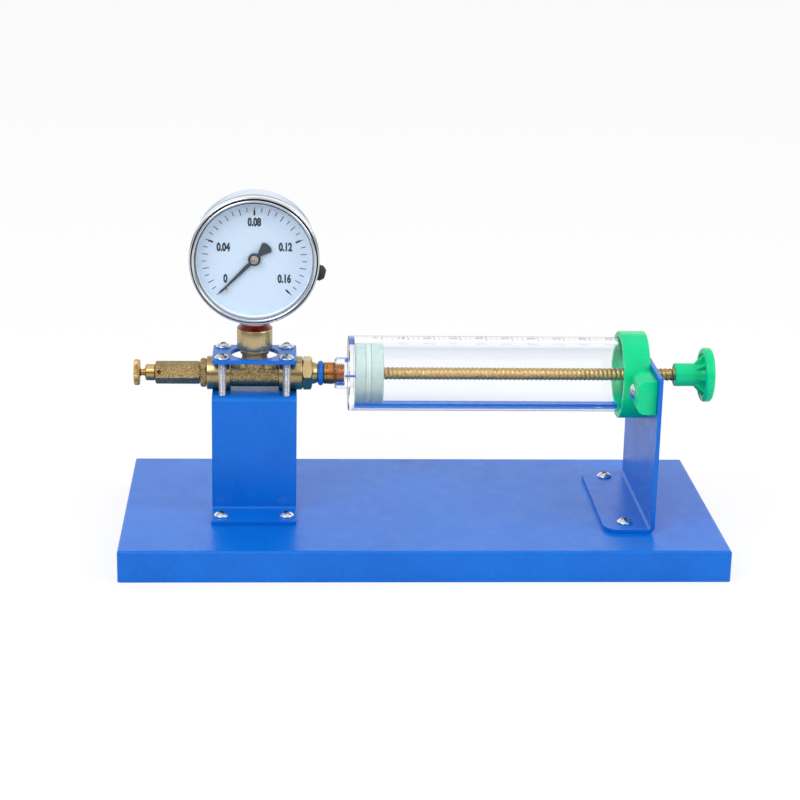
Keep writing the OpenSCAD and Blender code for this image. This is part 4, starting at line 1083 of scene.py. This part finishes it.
# Each lamp's place, side and watts
LAMPS = {"key": ((-0.7, -0.9, 1.1), 0.9, 9), "fill": ((0.9, -0.5, 0.7), 0.7, 4)}
LAMP_TARGET = Vector((0, 0, 0.08))

CAMERA_PLACE = Vector((-0.07192, -1.00914, 0.38525))
CAMERA_YAW = math.radians(3.475)
CAMERA_PITCH = math.radians(17.25)
CAMERA_ROLL = math.radians(1.256)
CAMERA_LENS = 93.507
CAMERA_SENSOR = 36


def floor():
    """A pale floor that the camera sees nearly white, and that is darker in reflections."""
    bm = bmesh.new()
    bmesh.ops.create_grid(bm, x_segments=1, y_segments=1, size=FLOOR_HALF)
    obj = mesh_object("floor", bm)
    material = bpy.data.materials.new("floor")
    material.use_nodes = True
    tree = Tree(material.node_tree)
    rays = tree.add("ShaderNodeLightPath").outputs
    # A ray through the clear tube counts as glossy too, and is left out here
    mirrored = tree.maths("SUBTRACT", rays["Is Glossy Ray"], rays["Is Transmission Ray"])
    mirrored.node.use_clamp = True
    shader = tree.named("Principled BSDF")
    tree.put(shader.inputs["Base Color"], tree.mixed(mirrored, FLOOR_TONE, FLOOR_IN_GLOSS))
    tree.put(shader.inputs["Roughness"], FLOOR_ROUGHNESS)
    glow = tree.add("ShaderNodeEmission", Color=WHITE)
    mix = tree.add("ShaderNodeMixShader")
    tree.put(mix.inputs["Fac"], tree.maths("MULTIPLY", rays["Is Camera Ray"], FLOOR_WHITE))
    tree.put(mix.inputs[1], shader.outputs[0])
    tree.put(mix.inputs[2], glow.outputs[0])
    tree.put(tree.named("Material Output").inputs["Surface"], mix.outputs[0])
    obj.data.materials.append(material)


def ramp(tree, direction, stops):
    """A strength that changes along one part of a direction, from (place, strength) stops."""
    node = tree.add("ShaderNodeFloatCurve")
    curve = node.mapping.curves[0]
    for place, strength in stops[1:-1]:
        curve.points.new(place / 2 + 0.5, strength)
    for point, (place, strength) in zip((curve.points[0], curve.points[-1]), (stops[0], stops[-1])):
        point.location = (place / 2 + 0.5, strength)
    for point in curve.points:
        point.handle_type = "VECTOR"
    node.mapping.update()
    halved = tree.maths("MULTIPLY_ADD", direction, 0.5)
    halved.node.inputs[2].default_value = 0.5
    tree.put(node.inputs["Value"], halved)
    return node.outputs[0]


def world_light():
    """A studio that is white to the camera and through glass.

    Matt faces see a soft room. Glossy ones see a bright wall with a dark band behind the
    object, and ahead of it a dark horizon under a bright ceiling.
    """
    world = bpy.data.worlds.new("studio")
    bpy.context.scene.world = world
    world.use_nodes = True
    tree = Tree(world.node_tree)
    coords = tree.add("ShaderNodeTexCoord")
    split = tree.add("ShaderNodeSeparateXYZ", Vector=coords.outputs["Generated"])

    def strength(by_height, by_depth):
        height = ramp(tree, split.outputs["Z"], by_height)
        return tree.maths("MULTIPLY", height, ramp(tree, split.outputs["Y"], by_depth))

    soft = strength(SOFT_BY_HEIGHT, SOFT_BY_DEPTH)
    behind = tree.maths("MULTIPLY", strength(GLOSS_BEHIND, BEHIND_SHARE), BEHIND_GAIN)
    gloss = tree.maths("ADD", behind, strength(GLOSS_AHEAD, AHEAD_SHARE))
    rays = tree.add("ShaderNodeLightPath").outputs
    clear_sight = tree.maths("MAXIMUM", rays["Is Camera Ray"], rays["Is Transmission Ray"])
    is_gloss = rays["Is Glossy Ray"]
    not_gloss = tree.maths("SUBTRACT", 1.0, is_gloss)
    seen = tree.maths("ADD", tree.maths("MULTIPLY", gloss, is_gloss),
                      tree.maths("MULTIPLY", soft, not_gloss))
    back = tree.named("Background")
    tree.put(back.inputs["Color"], WHITE)
    tree.put(back.inputs["Strength"], tree.maths("MAXIMUM", clear_sight, seen))


def area_lamp(name, place, side, watts):
    """A square lamp that faces the middle of the object."""
    data = bpy.data.lights.new(name, "AREA")
    data.shape = "RECTANGLE"
    data.size = data.size_y = side
    data.energy = watts
    obj = linked(name, data)
    obj.location = place
    obj.rotation_euler = (LAMP_TARGET - Vector(place)).to_track_quat("-Z", "Y").to_euler()


def camera():
    """The camera at the photograph's place, turned by its yaw, pitch and roll."""
    data = bpy.data.cameras.new("camera")
    data.sensor_width = CAMERA_SENSOR
    data.lens = CAMERA_LENS
    obj = linked("camera", data)
    level = math.cos(CAMERA_PITCH)
    ahead = Vector((math.sin(CAMERA_YAW) * level, math.cos(CAMERA_YAW) * level,
                    -math.sin(CAMERA_PITCH)))
    right = Vector((math.cos(CAMERA_YAW), -math.sin(CAMERA_YAW), 0))
    up = right.cross(ahead)
    rolled_right = math.cos(CAMERA_ROLL) * right + math.sin(CAMERA_ROLL) * up
    rolled_up = math.cos(CAMERA_ROLL) * up - math.sin(CAMERA_ROLL) * right
    turn = Matrix((rolled_right, rolled_up, -ahead)).transposed().to_4x4()
    obj.matrix_world = Matrix.Translation(CAMERA_PLACE) @ turn
    bpy.context.scene.camera = obj


floor()
world_light()
for lamp_name, (lamp_place, lamp_side, lamp_watts) in LAMPS.items():
    area_lamp(lamp_name, lamp_place, lamp_side, lamp_watts)
camera()
bpy.context.scene.view_settings.view_transform = "Standard"
